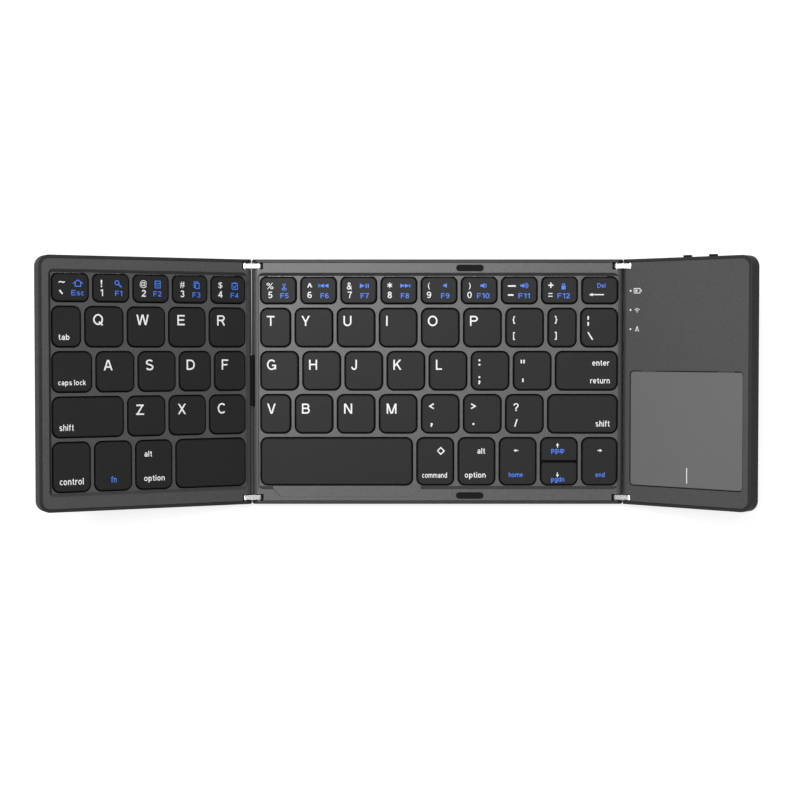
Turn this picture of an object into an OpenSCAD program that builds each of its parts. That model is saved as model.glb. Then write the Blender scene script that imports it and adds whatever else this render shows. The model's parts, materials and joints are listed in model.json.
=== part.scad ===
// Three-panel folding keyboard with a touchpad, standing open with both wings raised.
// The centre panel lies on its feet. Each wing hangs on two metal links, and every link turns on
// one pin in the centre panel and one pin in the wing, so that a wing folds flat over the keys.
// Origin: middle of the footprint on the resting plane. +X right, +Y rear, +Z up.

/* [Panels] */
// Depth of all three panels, front to rear
panel_d = 98; // [90:0.5:118]
// Width of the centre panel, from the middle of one hinge gap to the other
centre_w = 149.4; // [124:0.1:179]
// Width of the left wing, from the middle of its hinge gap
left_w = 87.3; // [72:0.1:105]
// Width of the right wing, from the middle of its hinge gap
right_w = 58.6; // [49:0.1:71]
// Thickness of a panel without its feet
panel_t = 6.6; // [5.5:0.1:8]
// Corner radius at the outer end of a wing
outer_corner_r = 4.3; // [2:0.1:7]
// Corner radius beside a hinge
inner_corner_r = 0.9; // [0.8:0.1:2]
// Chamfer around the bottom edge
bottom_chamfer = 0.6; // [0.3:0.05:0.8]
// Chamfer around the top edge
top_chamfer = 0.35; // [0.2:0.05:0.6]

/* [Standing pose] */
// Tilt of the left wing above flat
left_tilt = 27; // [0:1:90]
// Tilt of the right wing above flat
right_tilt = 40.6; // [0:0.2:90]

/* [Hinges] */
// Depth of the hinge pins below the top face
pin_depth = 2.6; // [2.4:0.05:3]
// Gap left between two folded panels
fold_gap = 0.4; // [0.3:0.05:0.8]
// Radius of a hinge pin
pin_r = 0.75; // [0.6:0.05:0.9]
// Radius of a link's round end
link_end_r = 1.65; // [1.4:0.05:1.8]
// Thickness of a link
link_t = 2.4; // [1.6:0.1:3]
// Clearance beside and around a link in its slot
link_clearance = 0.2; // [0.1:0.05:0.4]
// Wall left between a link's slot and the panel's edge
slot_lip = 1.2; // [1.2:0.1:2.5]
// Length of pin held in the inner ear of a slot
pin_hold = 2.4; // [1.5:0.1:4]
// Running clearance of a pin in a link
pin_running = 0.04; // [0.02:0.01:0.08]
// Clearance of a pin in the ears that hold it
pin_seat = 0.01; // [0.01:0.01:0.02]

/* [Cable tube in the left gap] */
// Outer radius of the tube
tube_r = 1.2; // [0.9:0.05:1.25]
// Length of the tube
tube_l = 20.4; // [14:0.2:30]
// Distance of the tube's middle from the rear edge
tube_from_rear = 48.5; // [40:0.5:60]
// Clearance between the tube and the edges it lies between
tube_clearance = 0.25; // [0.15:0.05:0.4]
// Bore that the cable runs in
tube_bore_r = 0.7; // [0.5:0.05:0.8]
// Thickness of the tongue that holds the tube to the wing
tongue_t = 0.8; // [0.6:0.1:1]
// Width of the tongue
tongue_w = 12; // [6:0.5:16]

/* [Case and deck] */
// Thickness of a case's floor
floor_t = 0.9; // [0.7:0.1:1.2]
// Thickness of a case's walls below the deck
wall_t = 1.6; // [1.2:0.1:2]
// Thickness of a case's wall on a hinge side
hinge_wall_t = 1; // [0.8:0.05:1.1]
// Width of the case rim that frames the deck
rim_w = 1.1; // [0.8:0.1:1.4]
// Seam between the rim and the deck
seam = 0.1; // [0.06:0.01:0.15]
// Bevel around a deck's top, beside the rim
deck_bevel = 0.2; // [0.1:0.05:0.3]
// Thickness of the deck's frame
deck_t = 1.2; // [1:0.1:1.4]
// Depth of the key well below the deck's top
well_depth = 1.3; // [1:0.1:1.5]
// Thickness of the deck's grid between the keys
grid_t = 0.9; // [0.7:0.1:1.2]
// Width of the well's sloping walls
well_slope = 1.2; // [0.3:0.1:1.5]
// Distance of the wells from the middle of the left hinge gap, on both sides of it
well_gap_margin = 2.7; // [2.6:0.05:3.3]
// Corner radius of the well
well_corner_r = 2.2; // [1.5:0.1:4]
// How far the thumb scoop reaches in front of the well
scoop_d = 3.1; // [2:0.1:4]
// Distance of the thumb scoop from the left end of the space bar
scoop_start = 4.4; // [2:0.1:10]
// How far the thumb scoop runs past the right end of the space bar
scoop_past = 3.6; // [0:0.1:5]
// Slant of the thumb scoop's ends
scoop_slant = 3.2; // [1:0.1:5]

/* [Keys] */
// Distance of the number row from the rear edge
rear_margin = 7.2; // [6:0.1:10]
// Distance of the bottom row from the front edge
front_margin = 7.8; // [7:0.1:12]
// Distance of the centre keys from the middle of the left hinge gap
gap_margin = 4.05; // [3.7:0.05:6]
// Distance of the left wing's keys from the middle of the left hinge gap
left_gap_margin = 3.65; // [3.6:0.05:6]
// Distance of the centre keys from the middle of the right hinge gap
right_gap_margin = 2.9; // [2.2:0.05:4]
// Distance of the left wing's keys from its outer end
left_end_margin = 5.7; // [5:0.1:8]
// Depth of the number row's keys
number_d = 10.2; // [8:0.1:14]
// Extra depth of the bottom row
bottom_extra_d = 3.6; // [0:0.1:6]
// Gap between two rows
row_gap = 2.38; // [1.8:0.02:3]
// Gap between two keys in a row
key_gap = 2.35; // [1.8:0.05:3]
// Width of the enter key
enter_w = 24.2; // [20:0.1:32]
// Width of the keys beside the left hinge gap in the upper and lower letter rows
first_w = 11.45; // [9:0.05:13]
// Width of the narrow key near the right end of the upper letter row
narrow_w = 10.8; // [9:0.1:13]
// Width of the tab key
tab_w = 10.55; // [9:0.05:14]
// How much narrower the two innermost home-row keys of the left wing are
home_trim = 2.15; // [0:0.05:3]
// Width of the modifier and arrow keys beside the space bar
modifier_w = 14.2; // [12:0.1:16]
// Width of the right arrow key
right_arrow_w = 13.6; // [12:0.1:16]
// Width of the modifier keys on the left wing
left_modifier_w = 14.1; // [12:0.1:16]
// Gap between the two half-height arrow keys
arrow_gap = 0.7; // [0.3:0.05:1]
// Radius of the up arrow key's front corners
arrow_up_r = 0.6; // [0.4:0.05:1.2]
// Radius of the down arrow key's rear corners
arrow_down_r = 1.2; // [0.8:0.05:2]
// Height of a keycap
cap_h = 1.9; // [1.6:0.1:2.2]
// Depth of a keycap's top below the deck's top
cap_drop = 0.3; // [0.2:0.05:0.6]
// Wall of a keycap
cap_wall = 0.8; // [0.6:0.05:1]
// Bevel around a keycap's top
cap_bevel = 0.3; // [0.15:0.05:0.5]
// Corner radius of a keycap
cap_corner_r = 2.5; // [1.5:0.1:3.5]
// Corner radius of a number key
number_corner_r = 2.1; // [1.5:0.1:3.5]
// Clearance between a keycap and its opening
cap_clearance = 0.6; // [0.4:0.05:0.7]
// Travel of a key
key_travel = 1.2; // [0.8:0.1:1.6]
// Height of the homing bar on F and J
homing_h = 0.2; // [0.1:0.05:0.25]

/* [Under the keys] */
// Thickness of the metal support plate
plate_t = 0.4; // [0.3:0.05:0.6]
// Thickness of the rubber sheet that carries the domes
sheet_t = 0.3; // [0.2:0.05:0.5]
// Base radius of a dome
dome_r = 2.7; // [2:0.1:3]
// Top radius of a dome
dome_top_r = 1.5; // [1:0.1:2]
// Room between a pressed keycap and the rubber sheet
press_room = 0.35; // [0.2:0.05:0.6]
// Gap between a dome and its keycap at rest
dome_gap = 0.05; // [0.02:0.01:0.2]

/* [Right wing] */
// Distance of the touchpad from the middle of the hinge gap
pad_gap_margin = 4.7; // [4:0.05:8]
// Distance of the touchpad from the outer end
pad_end_margin = 3.65; // [3:0.05:8]
// Distance of the touchpad from the front edge
pad_front_margin = 8; // [7:0.1:14]
// Depth of the touchpad, front to rear
pad_d = 45.3; // [36:0.1:56]
// Thickness of the touchpad
pad_t = 1.4; // [1.2:0.1:1.8]
// Depth of the touchpad's face below the deck's top
pad_sink = 0.1; // [0.05:0.05:0.3]
// Corner radius of the touchpad
pad_corner_r = 1.3; // [0.8:0.1:3]
// Groove around the touchpad
pad_clearance = 0.35; // [0.25:0.05:0.6]
// Travel of the touchpad's front edge
pad_travel = 0.5; // [0.3:0.05:0.8]
// Distance of the first switch from the middle of the hinge gap
switch_x = 28.8; // [26:0.1:34]
// Spacing of the two slide switches
switch_pitch = 11.4; // [9:0.1:13]
// Width of a switch knob
knob_w = 3.1; // [2.8:0.1:4.5]
// Height of a switch knob
knob_h = 1.5; // [1.2:0.1:2]
// How far a switch knob stands out of the rear edge
knob_out = 0.9; // [0.6:0.1:1.5]
// Travel of a switch knob
knob_travel = 2; // [1.5:0.1:2.5]
// Clearance around a switch knob
knob_clearance = 0.15; // [0.1:0.05:0.25]
// Distance of the charging socket from the middle of the hinge gap
socket_x = 16.5; // [12:0.1:20]
// Width of the charging socket's mouth
socket_w = 7.4; // [7:0.1:9]
// Height of the charging socket's mouth
socket_h = 2.4; // [2:0.1:3]
// Distance of the indicator lights from the middle of the hinge gap
light_x = 4.6; // [4.4:0.1:7]
// Distance of the first indicator light from the rear edge
light_y = 12.6; // [9:0.1:16]
// Spacing of the indicator lights
light_pitch = 7.65; // [5:0.05:9]
// Radius of an indicator light
light_r = 0.35; // [0.3:0.05:0.7]

/* [Feet, bumpers and screws] */
// Height of the rubber feet
foot_h = 0.8; // [0.5:0.1:1.5]
// Radius of the rubber feet
foot_r = 3; // [2.5:0.1:3.2]
// Length of a rubber bumper
bumper_l = 11; // [8:0.1:16]
// Width of a rubber bumper
bumper_w = 2.6; // [2:0.1:3]
// Distance of a bumper's middle from the panel's edge
bumper_inset = 3.4; // [3:0.1:4]
// Distance of the bumpers from the middle of the centre panel
bumper_x = 12.9; // [8:0.1:16]
// How far a bumper stands out of the deck
bumper_out = 0.25; // [0.15:0.05:0.3]
// Depth of a bumper's recess
bumper_seat = 0.7; // [0.4:0.1:0.8]
// Radius of a screw's thread
screw_r = 0.7; // [0.5:0.05:0.9]
// Radius of a screw's head
screw_head_r = 1.35; // [1.1:0.05:1.6]
// Height of a screw's head
screw_head_h = 0.5; // [0.4:0.05:0.6]
// Length of the cross recess in a screw's head
recess_l = 1.8; // [1.4:0.1:2]
// Width of the cross recess
recess_w = 0.4; // [0.3:0.05:0.5]
// Depth of the cross recess
recess_depth = 0.3; // [0.2:0.05:0.35]
// Radius of the bosses that the screws hold
boss_r = 1.55; // [1.4:0.05:1.8]
// Distance of the screws from the front and rear edges
screw_inset = 3.9; // [3.6:0.1:4.2]
// Distance of the end screws from the middle of a hinge gap or from an outer end
screw_end = 9.6; // [8.5:0.1:14]

/* [Hidden] */
$fn = 48;

// How far a cut runs past a face
past = 0.5;
// Hairline between parts that lie on each other
lay = 0.02;
// Play around parts that are assembled once
play = 0.1;
// Room around the plates and sheets inside a case
plate_play = 0.3;
// Corner radius inside the cases
inner_r = 0.6;
// Depth by which a raised feature is rooted in the part that carries it
root = 0.2;

// Hinge: pins this far apart leave fold_gap between two panels folded face to face
link_span = 2 * pin_depth + fold_gap;
// Round edge beside a hinge, centred on its pin
edge_r = pin_depth;
pin_z = panel_t - pin_depth;
// Distance of a panel's edge from the middle of the gap
edge_x = link_span / 2 - edge_r;
slot_w = link_t + 2 * link_clearance;
slot_y = panel_d / 2 - slot_lip - slot_w / 2;
slot_reach = link_span / 2 + link_end_r + 2 * link_clearance;
ear_end = slot_lip + slot_w + pin_hold;
block_wall = 1.4;
block_reach = slot_reach - edge_x + block_wall;

link_edge = 0.3;

// Middle of the hinge gaps and places of the pins in the flat keyboard
gap_x = centre_w / 2;
inner_pin_x = gap_x - link_span / 2;
outer_pin_x = gap_x + link_span / 2;
left_turn = left_tilt / 2;
right_turn = right_tilt / 2;

// Ends of the panels in the flat keyboard
centre_x0 = -gap_x + edge_x;
centre_x1 = gap_x - edge_x;
left_x0 = -gap_x - left_w;
left_x1 = -gap_x - edge_x;
right_x0 = gap_x + edge_x;
right_x1 = gap_x + right_w;

// Levels above the case's bottom
deck_z = panel_t - deck_t;
well_z = panel_t - well_depth;
grid_z = well_z - grid_t;
cap_top_z = panel_t - cap_drop;
cap_z = cap_top_z - cap_h;
cap_roof_z = cap_top_z - cap_wall;
sheet_top_z = cap_z - key_travel - press_room;
sheet_z = sheet_top_z - sheet_t;
plate_z = sheet_z - plate_t - lay;

// Sizes that are worked out are kept to a hundredth of a millimetre
function tidy(size) = round(size * 100) / 100;

// Half of the standing keyboard's footprint on each side of the centre panel's middle
function reach(wing_w, turn) =
    inner_pin_x + link_span * cos(turn) + (wing_w - link_span / 2) * cos(2 * turn)
    + (pin_z - bottom_chamfer) * sin(2 * turn);
footprint_mid_x = tidy((reach(right_w, right_turn) - reach(left_w, left_turn)) / 2);

// Key layout. A width of FILL takes what the row has left.
FILL = -1;
LEFT = 0;
CENTRE = 1;
NUMBERS = 0;
UPPER = 1;
HOME = 2;
LOWER = 3;
BOTTOM = 4;
field_x = [left_x0 + left_end_margin, -gap_x + gap_margin];
field_w = [left_w - left_end_margin - left_gap_margin, centre_w - gap_margin - right_gap_margin];
key_w = [
    tidy((field_w[LEFT] - tab_w - 4 * key_gap) / 4),
    tidy((field_w[CENTRE] - enter_w - 7 * key_gap) / 7)
];
home_w = key_w[LEFT] - home_trim;
number_w = [
    tidy((field_w[LEFT] + key_gap) / 5 - key_gap),
    tidy((field_w[CENTRE] + key_gap) / 9 - key_gap)
];
key_d = tidy((panel_d - rear_margin - front_margin - number_d - bottom_extra_d - 4 * row_gap) / 4);
row_d = [number_d, key_d, key_d, key_d, key_d + bottom_extra_d];

function same(count, w) = [for (i = [1:count]) w];
rows = [
    [
        same(5, number_w[LEFT]),
        concat([tab_w], same(4, key_w[LEFT])),
        [FILL, key_w[LEFT], key_w[LEFT], home_w, home_w],
        concat([FILL], same(3, key_w[LEFT])),
        concat(same(3, left_modifier_w), [FILL])
    ],
    [
        same(9, number_w[CENTRE]),
        concat([first_w], same(6, key_w[CENTRE]), [narrow_w, FILL]),
        concat(same(7, key_w[CENTRE]), [enter_w]),
        concat([first_w], same(6, key_w[CENTRE]), [FILL]),
        concat([FILL], same(4, modifier_w), [right_arrow_w])
    ]
];

function sum(list, count, i = 0) = i >= count ? 0 : list[i] + sum(list, count, i + 1);
function stated(list) = [for (w = list) max(w, 0)];
function left_over(panel, row) =
    field_w[panel] - sum(stated(rows[panel][row]), len(rows[panel][row]))
    - (len(rows[panel][row]) - 1) * key_gap;
function widths(panel, row) =
    [for (w = rows[panel][row]) w == FILL ? left_over(panel, row) : w];
function key_x(panel, row, i) =
    field_x[panel] + sum(widths(panel, row), i) + i * key_gap + widths(panel, row)[i] / 2;
function row_y(row) =
    panel_d / 2 - rear_margin - sum(row_d, row) - row * row_gap - row_d[row] / 2;
function corner_r(row) = row == NUMBERS ? number_corner_r : cap_corner_r;

// The two half-height arrows share one place in the bottom row
SPLIT = 4;
half_d = tidy((row_d[BOTTOM] - arrow_gap) / 2);
half_shift = (half_d + arrow_gap) / 2;

// Edges of the key wells, measured from the panel's rear and front edges, and their ends
well_border = cap_clearance + play + well_slope;
well_rear = rear_margin - well_border;
well_front = front_margin - well_border;
centre_well = [-gap_x + well_gap_margin, gap_x - right_gap_margin + cap_clearance];
left_well = [left_x0 + left_end_margin - well_border, -gap_x - well_gap_margin];
// The grid between the keys runs this far under the frame
grid_lap = 1.2;
grid_inset = min(well_rear, well_front) - grid_lap;
space_w = widths(CENTRE, BOTTOM)[0];
scoop_x0 = field_x[CENTRE] + scoop_start;
scoop_x1 = field_x[CENTRE] + space_w + scoop_past;

// Ribs on a case's floor
rib_count = 3;
rib_t = 1;
rib_end = 8;

bumper_r = bumper_w / 2 - lay;

// Least corner radius inside a keycap
cap_inner_r = 0.3;

// Raised bar on the F and J keys
homing_l = 3.4;
homing_w = 0.6;
homing_inset = 2.4;

// Straight foot and straight head of a rubber dome
dome_skirt = 0.4;
dome_face = 0.35;

// Screw places in the flat keyboard
screw_y = panel_d / 2 - screw_inset;
centre_screw_x = [-gap_x + screw_end, 0, gap_x - screw_end];
left_screw_x = [left_x0 + screw_end, -gap_x - screw_end];
right_screw_x = [gap_x + screw_end, right_x1 - screw_end];
screw_cover = 0.6;
screw_tip_z = well_z - screw_cover;
post_r = boss_r + screw_cover;

// Cable tube
tube_y = panel_d / 2 - tube_from_rear;
tube_seat_r = tube_r + tube_clearance;
tube_seat_l = tube_l + 2 * tube_clearance;
tongue_slip = 0.05;
tongue_z = grid_z - play - tongue_t;
tube_wall_t = 2.5;
tube_wall_end = 1.2;
tube_wall_x = edge_x + tube_wall_t;
tongue_grip = 0.7;
tongue_l = tube_wall_x + tongue_grip;

// Touchpad
pad_x0 = gap_x + pad_gap_margin;
pad_x1 = right_x1 - pad_end_margin;
pad_mid_x = (pad_x0 + pad_x1) / 2;
pad_w = pad_x1 - pad_x0;
pad_y0 = -panel_d / 2 + pad_front_margin;
pad_y1 = pad_y0 + pad_d;
pad_mid_y = (pad_y0 + pad_y1) / 2;
pad_top_z = panel_t - pad_sink;
pad_z = pad_top_z - pad_t;
// Bracket under the touchpad: its rear tabs rock on two pillars, under the deck
bracket_t = 0.6;
bracket_in = 4;
tab_width = 7;
tab_l = 3;
tab_inset = 8;
tab_x = pad_w / 2 - tab_inset;
tab_play = 0.15;
pillar_w = 4;
pillar_gap = 0.8;
pillar_y = pad_y1 + pillar_gap;
bracket_z = pad_z - bracket_t;
pad_bevel = 0.2;
// Stop under the touchpad's front edge
stop_inset = 3.5;
stop_r = 2;

// Electronics of the right wing
board_lift = 0.3;
board_t = 0.8;
board_margin = 1.2;
board_z = floor_t + board_lift;
board_top = board_z + board_t;
board_x0 = right_x0 + hinge_wall_t + board_margin;
board_x1 = right_x1 - wall_t - board_margin;
board_y0 = pad_y1 + tab_l + board_margin;
board_y1 = screw_y - boss_r - board_margin;
board_rear = panel_d / 2 - wall_t - plate_play;
board_post_r = 1.5;
board_post_inset = 3.5;
processor = [9, 9, 1];
radio = [11, 12, 1.2];
charger = [5, 5, 0.8];
chip_gap = 7;
switch_body_d = 2.6;
switch_body_h = 1.4;
switch_body_wall = 0.4;
knob_lift = 0.55;
switch_z = board_top + knob_lift + knob_h / 2;
switch_x1 = gap_x + switch_x;
switch_x2 = switch_x1 + switch_pitch;
knob_root = 0.3;
ridge_w = 0.25;
ridge_count = 3;
socket_wall = 0.2;
socket_body_w = socket_w + 2 * socket_wall;
socket_body_h = socket_h + 2 * socket_wall;
socket_body_l = 5.4;
socket_back = 1;
socket_r = 0.6;
socket_tongue_t = 0.6;
socket_tongue_gap = 1.2;
socket_tongue_in = 1;
socket_mid_x = gap_x + socket_x;
battery_inset = 6;
battery_room = 0.4;
battery_r = 2;
battery_w = pad_w - 2 * battery_inset;
battery_d = pad_d - 2 * battery_inset;
battery_y = pad_y0 + battery_inset + stop_r + battery_d / 2;
battery_t = pad_z - pad_travel - battery_room - floor_t;
light_xs = gap_x + light_x;
light_ys = [for (i = [0:2]) panel_d / 2 - light_y - i * light_pitch];

plastic = [0.24, 0.24, 0.25];
deck_grey = [0.36, 0.36, 0.37];
pad_grey = [0.42, 0.42, 0.43];
key_black = [0.15, 0.15, 0.16];
steel = [0.75, 0.76, 0.78];
rubber_black = [0.08, 0.08, 0.08];
board_green = [0.05, 0.25, 0.15];

// ---------- Frames ----------

module standing() {
    translate([-footprint_mid_x, 0, foot_h]) children();
}

module turned(x, angle) {
    translate([x, 0, pin_z]) rotate([0, angle, 0]) translate([-x, 0, -pin_z]) children();
}

module on_left_link() {
    standing() turned(-inner_pin_x, left_turn) children();
}

module on_left_wing() {
    on_left_link() turned(-outer_pin_x, left_turn) children();
}

module on_right_link() {
    standing() turned(inner_pin_x, -right_turn) children();
}

module on_right_wing() {
    on_right_link() turned(outer_pin_x, -right_turn) children();
}

module front_and_rear() {
    for (side = [0, 1]) mirror([0, side, 0]) children();
}

// ---------- Shapes ----------

module rounded(w, d, r) {
    square([w - 2 * r, d], center = true);
    square([w, d - 2 * r], center = true);
    for (x = [-1, 1], y = [-1, 1]) translate([x * (w / 2 - r), y * (d / 2 - r)]) circle(r);
}

// Plate from x = 0 to w, centred in Y, whose edge follows a profile of [inset, z] points
module moulded(w, d, r_left, r_right, profile) {
    z0 = profile[0][1];
    z1 = profile[len(profile) - 1][1];
    // straight left and right edges
    for (side = [0, 1]) translate([side * w, 0, 0]) mirror([side, 0, 0]) rotate([90, 0, 0])
        linear_extrude(d - 2 * (side == 0 ? r_left : r_right), center = true)
            polygon(concat(profile, [[w / 2, z1], [w / 2, z0]]));
    // straight front and rear edges
    front_and_rear() translate([r_left, 0, 0]) rotate([90, 0, 90])
        linear_extrude(w - r_left - r_right)
            polygon(concat([[0, z0]], [for (p = profile) [d / 2 - p[0], p[1]]], [[0, z1]]));
    // corners
    for (side = [0, 1], y = [-1, 1]) {
        r = side == 0 ? r_left : r_right;
        translate([side == 0 ? r : w - r, y * (d / 2 - r), 0]) rotate_extrude()
            polygon(concat([[0, z0]], [for (p = profile) [r - p[0], p[1]]], [[0, z1]]));
    }
}

// Straight-walled plate between two x places, inset from the panel's front and rear edges
module slab(x0, x1, inset_y, z0, z1, r_left = inner_r, r_right = inner_r) {
    translate([x0, 0, 0])
        moulded(x1 - x0, panel_d - 2 * inset_y, r_left, r_right, [[0, z0], [0, z1]]);
}

// Outside of a panel from x = 0 to w, before its hinge edges are rounded
module panel_block(w, r_left, r_right) {
    moulded(w, panel_d, r_left, r_right, [
        [bottom_chamfer, 0], [0, bottom_chamfer],
        [0, panel_t - top_chamfer], [top_chamfer, panel_t]
    ]);
}

// What lies at +X of a hinge's round edge, whose pin is at x = 0
module beside_hinge(length) {
    rotate([90, 0, 0]) linear_extrude(panel_d + 2 * past, center = true) {
        translate([0, -past]) square([length, panel_t + 2 * past]);
        translate([-edge_r, -past]) square([edge_r + past, pin_z + past]);
        translate([0, pin_z]) circle(edge_r);
    }
}

module centre_block() {
    intersection() {
        translate([centre_x0, 0, 0])
            panel_block(centre_x1 - centre_x0, inner_corner_r, inner_corner_r);
        translate([-inner_pin_x, 0, 0]) beside_hinge(centre_w);
        translate([inner_pin_x, 0, 0]) mirror([1, 0, 0]) beside_hinge(centre_w);
    }
}

module left_block() {
    intersection() {
        translate([left_x0, 0, 0])
            panel_block(left_x1 - left_x0, outer_corner_r, inner_corner_r);
        translate([-outer_pin_x, 0, 0]) mirror([1, 0, 0]) beside_hinge(left_w);
    }
}

module right_block() {
    intersection() {
        translate([right_x0, 0, 0])
            panel_block(right_x1 - right_x0, inner_corner_r, outer_corner_r);
        translate([outer_pin_x, 0, 0]) beside_hinge(right_w);
    }
}

// ---------- Hinges ----------

// Slots for the links of one hinge, and bores for the pins that one panel holds
module hinge_slots(gap_at, pin_at) {
    front_and_rear() {
        translate([gap_at - slot_reach, slot_y - slot_w / 2, pin_z - link_end_r - link_clearance])
            cube([2 * slot_reach, slot_w, panel_t]);
        translate([pin_at, panel_d / 2 + past, pin_z]) rotate([90, 0, 0])
            cylinder(h = ear_end + past + play, r = pin_r + pin_seat);
    }
}

// Solid corners of a case that carry the ears beside the slots; side is +1 at a panel's left end
module hinge_blocks(edge_at, side, grow = 0) {
    front_and_rear()
        translate([side > 0 ? edge_at - grow : edge_at - block_reach - grow,
                   panel_d / 2 - ear_end - grow, floor_t / 2])
            cube([block_reach + 2 * grow, ear_end - rim_w + grow, deck_z - floor_t / 2]);
}

module hinge_pins(pin_at) {
    front_and_rear() translate([pin_at, panel_d / 2 - play, pin_z]) rotate([90, 0, 0])
        cylinder(h = ear_end - play, r = pin_r);
}

// Flat bar with round ends and chamfered edges, lying along X from the pin at x = 0
module link() {
    half = link_t / 2;
    edge = link_edge;
    rotate([90, 0, 0]) difference() {
        union() {
            for (x = [0, link_span]) translate([x, 0, 0]) rotate_extrude()
                polygon([
                    [0, -half], [link_end_r - edge, -half], [link_end_r, -half + edge],
                    [link_end_r, half - edge], [link_end_r - edge, half], [0, half]
                ]);
            rotate([90, 0, 90]) linear_extrude(link_span)
                polygon([
                    [-link_end_r + edge, -half], [link_end_r - edge, -half],
                    [link_end_r, -half + edge], [link_end_r, half - edge],
                    [link_end_r - edge, half], [-link_end_r + edge, half],
                    [-link_end_r, half - edge], [-link_end_r, -half + edge]
                ]);
        }
        for (x = [0, link_span]) translate([x, 0, 0])
            cylinder(h = link_t + 2 * past, r = pin_r + pin_running, center = true);
    }
}

module hinge_links(inner_pin_at, side) {
    color(steel) front_and_rear() translate([inner_pin_at, slot_y, pin_z])
        rotate([0, 0, side > 0 ? 0 : 180]) link();
}

// ---------- Cable tube in the left gap ----------

// Open-topped notch that the tube lies in
module tube_notch() {
    translate([-gap_x, tube_y, pin_z]) {
        rotate([90, 0, 0]) cylinder(h = tube_seat_l, r = tube_seat_r, center = true);
        translate([-tube_seat_r, -tube_seat_l / 2, 0]) cube([2 * tube_seat_r, tube_seat_l, panel_t]);
    }
}

// Thicker stretch of a hinge wall behind the notch, on one side of the gap
module tube_wall(side) {
    translate([side > 0 ? -gap_x + edge_x : -gap_x - tube_wall_x,
               tube_y - tube_seat_l / 2 - tube_wall_end, floor_t / 2])
        cube([tube_wall_t, tube_seat_l + 2 * tube_wall_end, grid_z - play - floor_t / 2]);
}

module tongue(slip) {
    translate([-gap_x - tongue_l - slip, tube_y - tongue_w / 2 - slip, tongue_z - slip])
        cube([tongue_l - tube_r / 2 + slip, tongue_w + 2 * slip, tongue_t + 2 * slip]);
}

module left_cable_tube() {
    color(rubber_black) on_left_wing() difference() {
        union() {
            translate([-gap_x, tube_y, pin_z]) rotate([90, 0, 0])
                cylinder(h = tube_l, r = tube_r, center = true);
            tongue(0);
        }
        translate([-gap_x, tube_y, pin_z]) rotate([90, 0, 0])
            cylinder(h = tube_l + 2 * past, r = tube_bore_r, center = true);
    }
}

// ---------- Cases ----------

// Screw holes through a floor, with room for the heads
module screw_holes(places) {
    for (x = places, y = [-1, 1]) translate([x, y * screw_y, -past]) {
        cylinder(h = plate_z + 2 * past, r = screw_r + play);
        cylinder(h = screw_head_h + play + past, r = screw_head_r + play);
    }
}

// Posts around the screws, which hold the support plate up
module posts(places) {
    for (x = places, y = [-1, 1]) translate([x, y * screw_y, floor_t / 2])
        cylinder(h = plate_z - floor_t / 2, r = post_r);
}

// Ribs on the floor, under the support plate
module ribs(x0, x1) {
    pitch = (panel_d - 2 * ear_end) / (rib_count + 1);
    for (i = [1:rib_count])
        translate([x0 + rib_end, i * pitch - panel_d / 2 + ear_end - rib_t / 2, floor_t / 2])
            cube([x1 - x0 - 2 * rib_end, rib_t, plate_z - floor_t / 2]);
}

// A case: the block less the deck's room above and the room inside, with what stands on its floor
module case_shell(x0, x1, wall0, wall1, rim0, rim1, r0, r1) {
    difference() {
        children(0);
        slab(x0 + rim0, x1 - rim1, rim_w, deck_z, panel_t + past, r0, r1);
        slab(x0 + wall0, x1 - wall1, wall_t, floor_t, panel_t, r0, r1);
    }
    intersection() {
        children(0);
        children(1);
    }
}

module centre_case() {
    color(plastic) standing() difference() {
        case_shell(centre_x0, centre_x1, hinge_wall_t, hinge_wall_t, -past, -past,
                   inner_r, inner_r) {
            centre_block();
            union() {
                hinge_blocks(centre_x0, 1);
                hinge_blocks(centre_x1, -1);
                tube_wall(1);
                posts(centre_screw_x);
                ribs(centre_x0, centre_x1);
            }
        }
        hinge_slots(-gap_x, -inner_pin_x);
        hinge_slots(gap_x, inner_pin_x);
        tube_notch();
        screw_holes(centre_screw_x);
    }
}

module left_case() {
    color(plastic) on_left_wing() difference() {
        case_shell(left_x0, left_x1, wall_t, hinge_wall_t, rim_w, -past,
                   outer_corner_r - rim_w, inner_r) {
            left_block();
            union() {
                hinge_blocks(left_x1, -1);
                tube_wall(-1);
                posts(left_screw_x);
                ribs(left_x0, left_x1);
            }
        }
        hinge_slots(-gap_x, -outer_pin_x);
        tube_notch();
        tongue(tongue_slip);
        screw_holes(left_screw_x);
    }
}

// Openings in the right case's rear wall for a switch knob
module knob_slot(x) {
    w = knob_w + knob_travel + 2 * knob_clearance;
    h = knob_h + 2 * knob_clearance;
    translate([x - knob_w / 2 - knob_clearance, panel_d / 2 - wall_t - past, switch_z - h / 2])
        cube([w, wall_t + 2 * past, h]);
}

// Room for the charging socket, from the rear face inwards
module socket_room(l) {
    translate([socket_mid_x, panel_d / 2, board_top + socket_body_h / 2]) rotate([90, 0, 0])
        linear_extrude(2 * l, center = true)
            rounded(socket_body_w + 2 * play, socket_body_h + 2 * play, socket_r);
}

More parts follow.
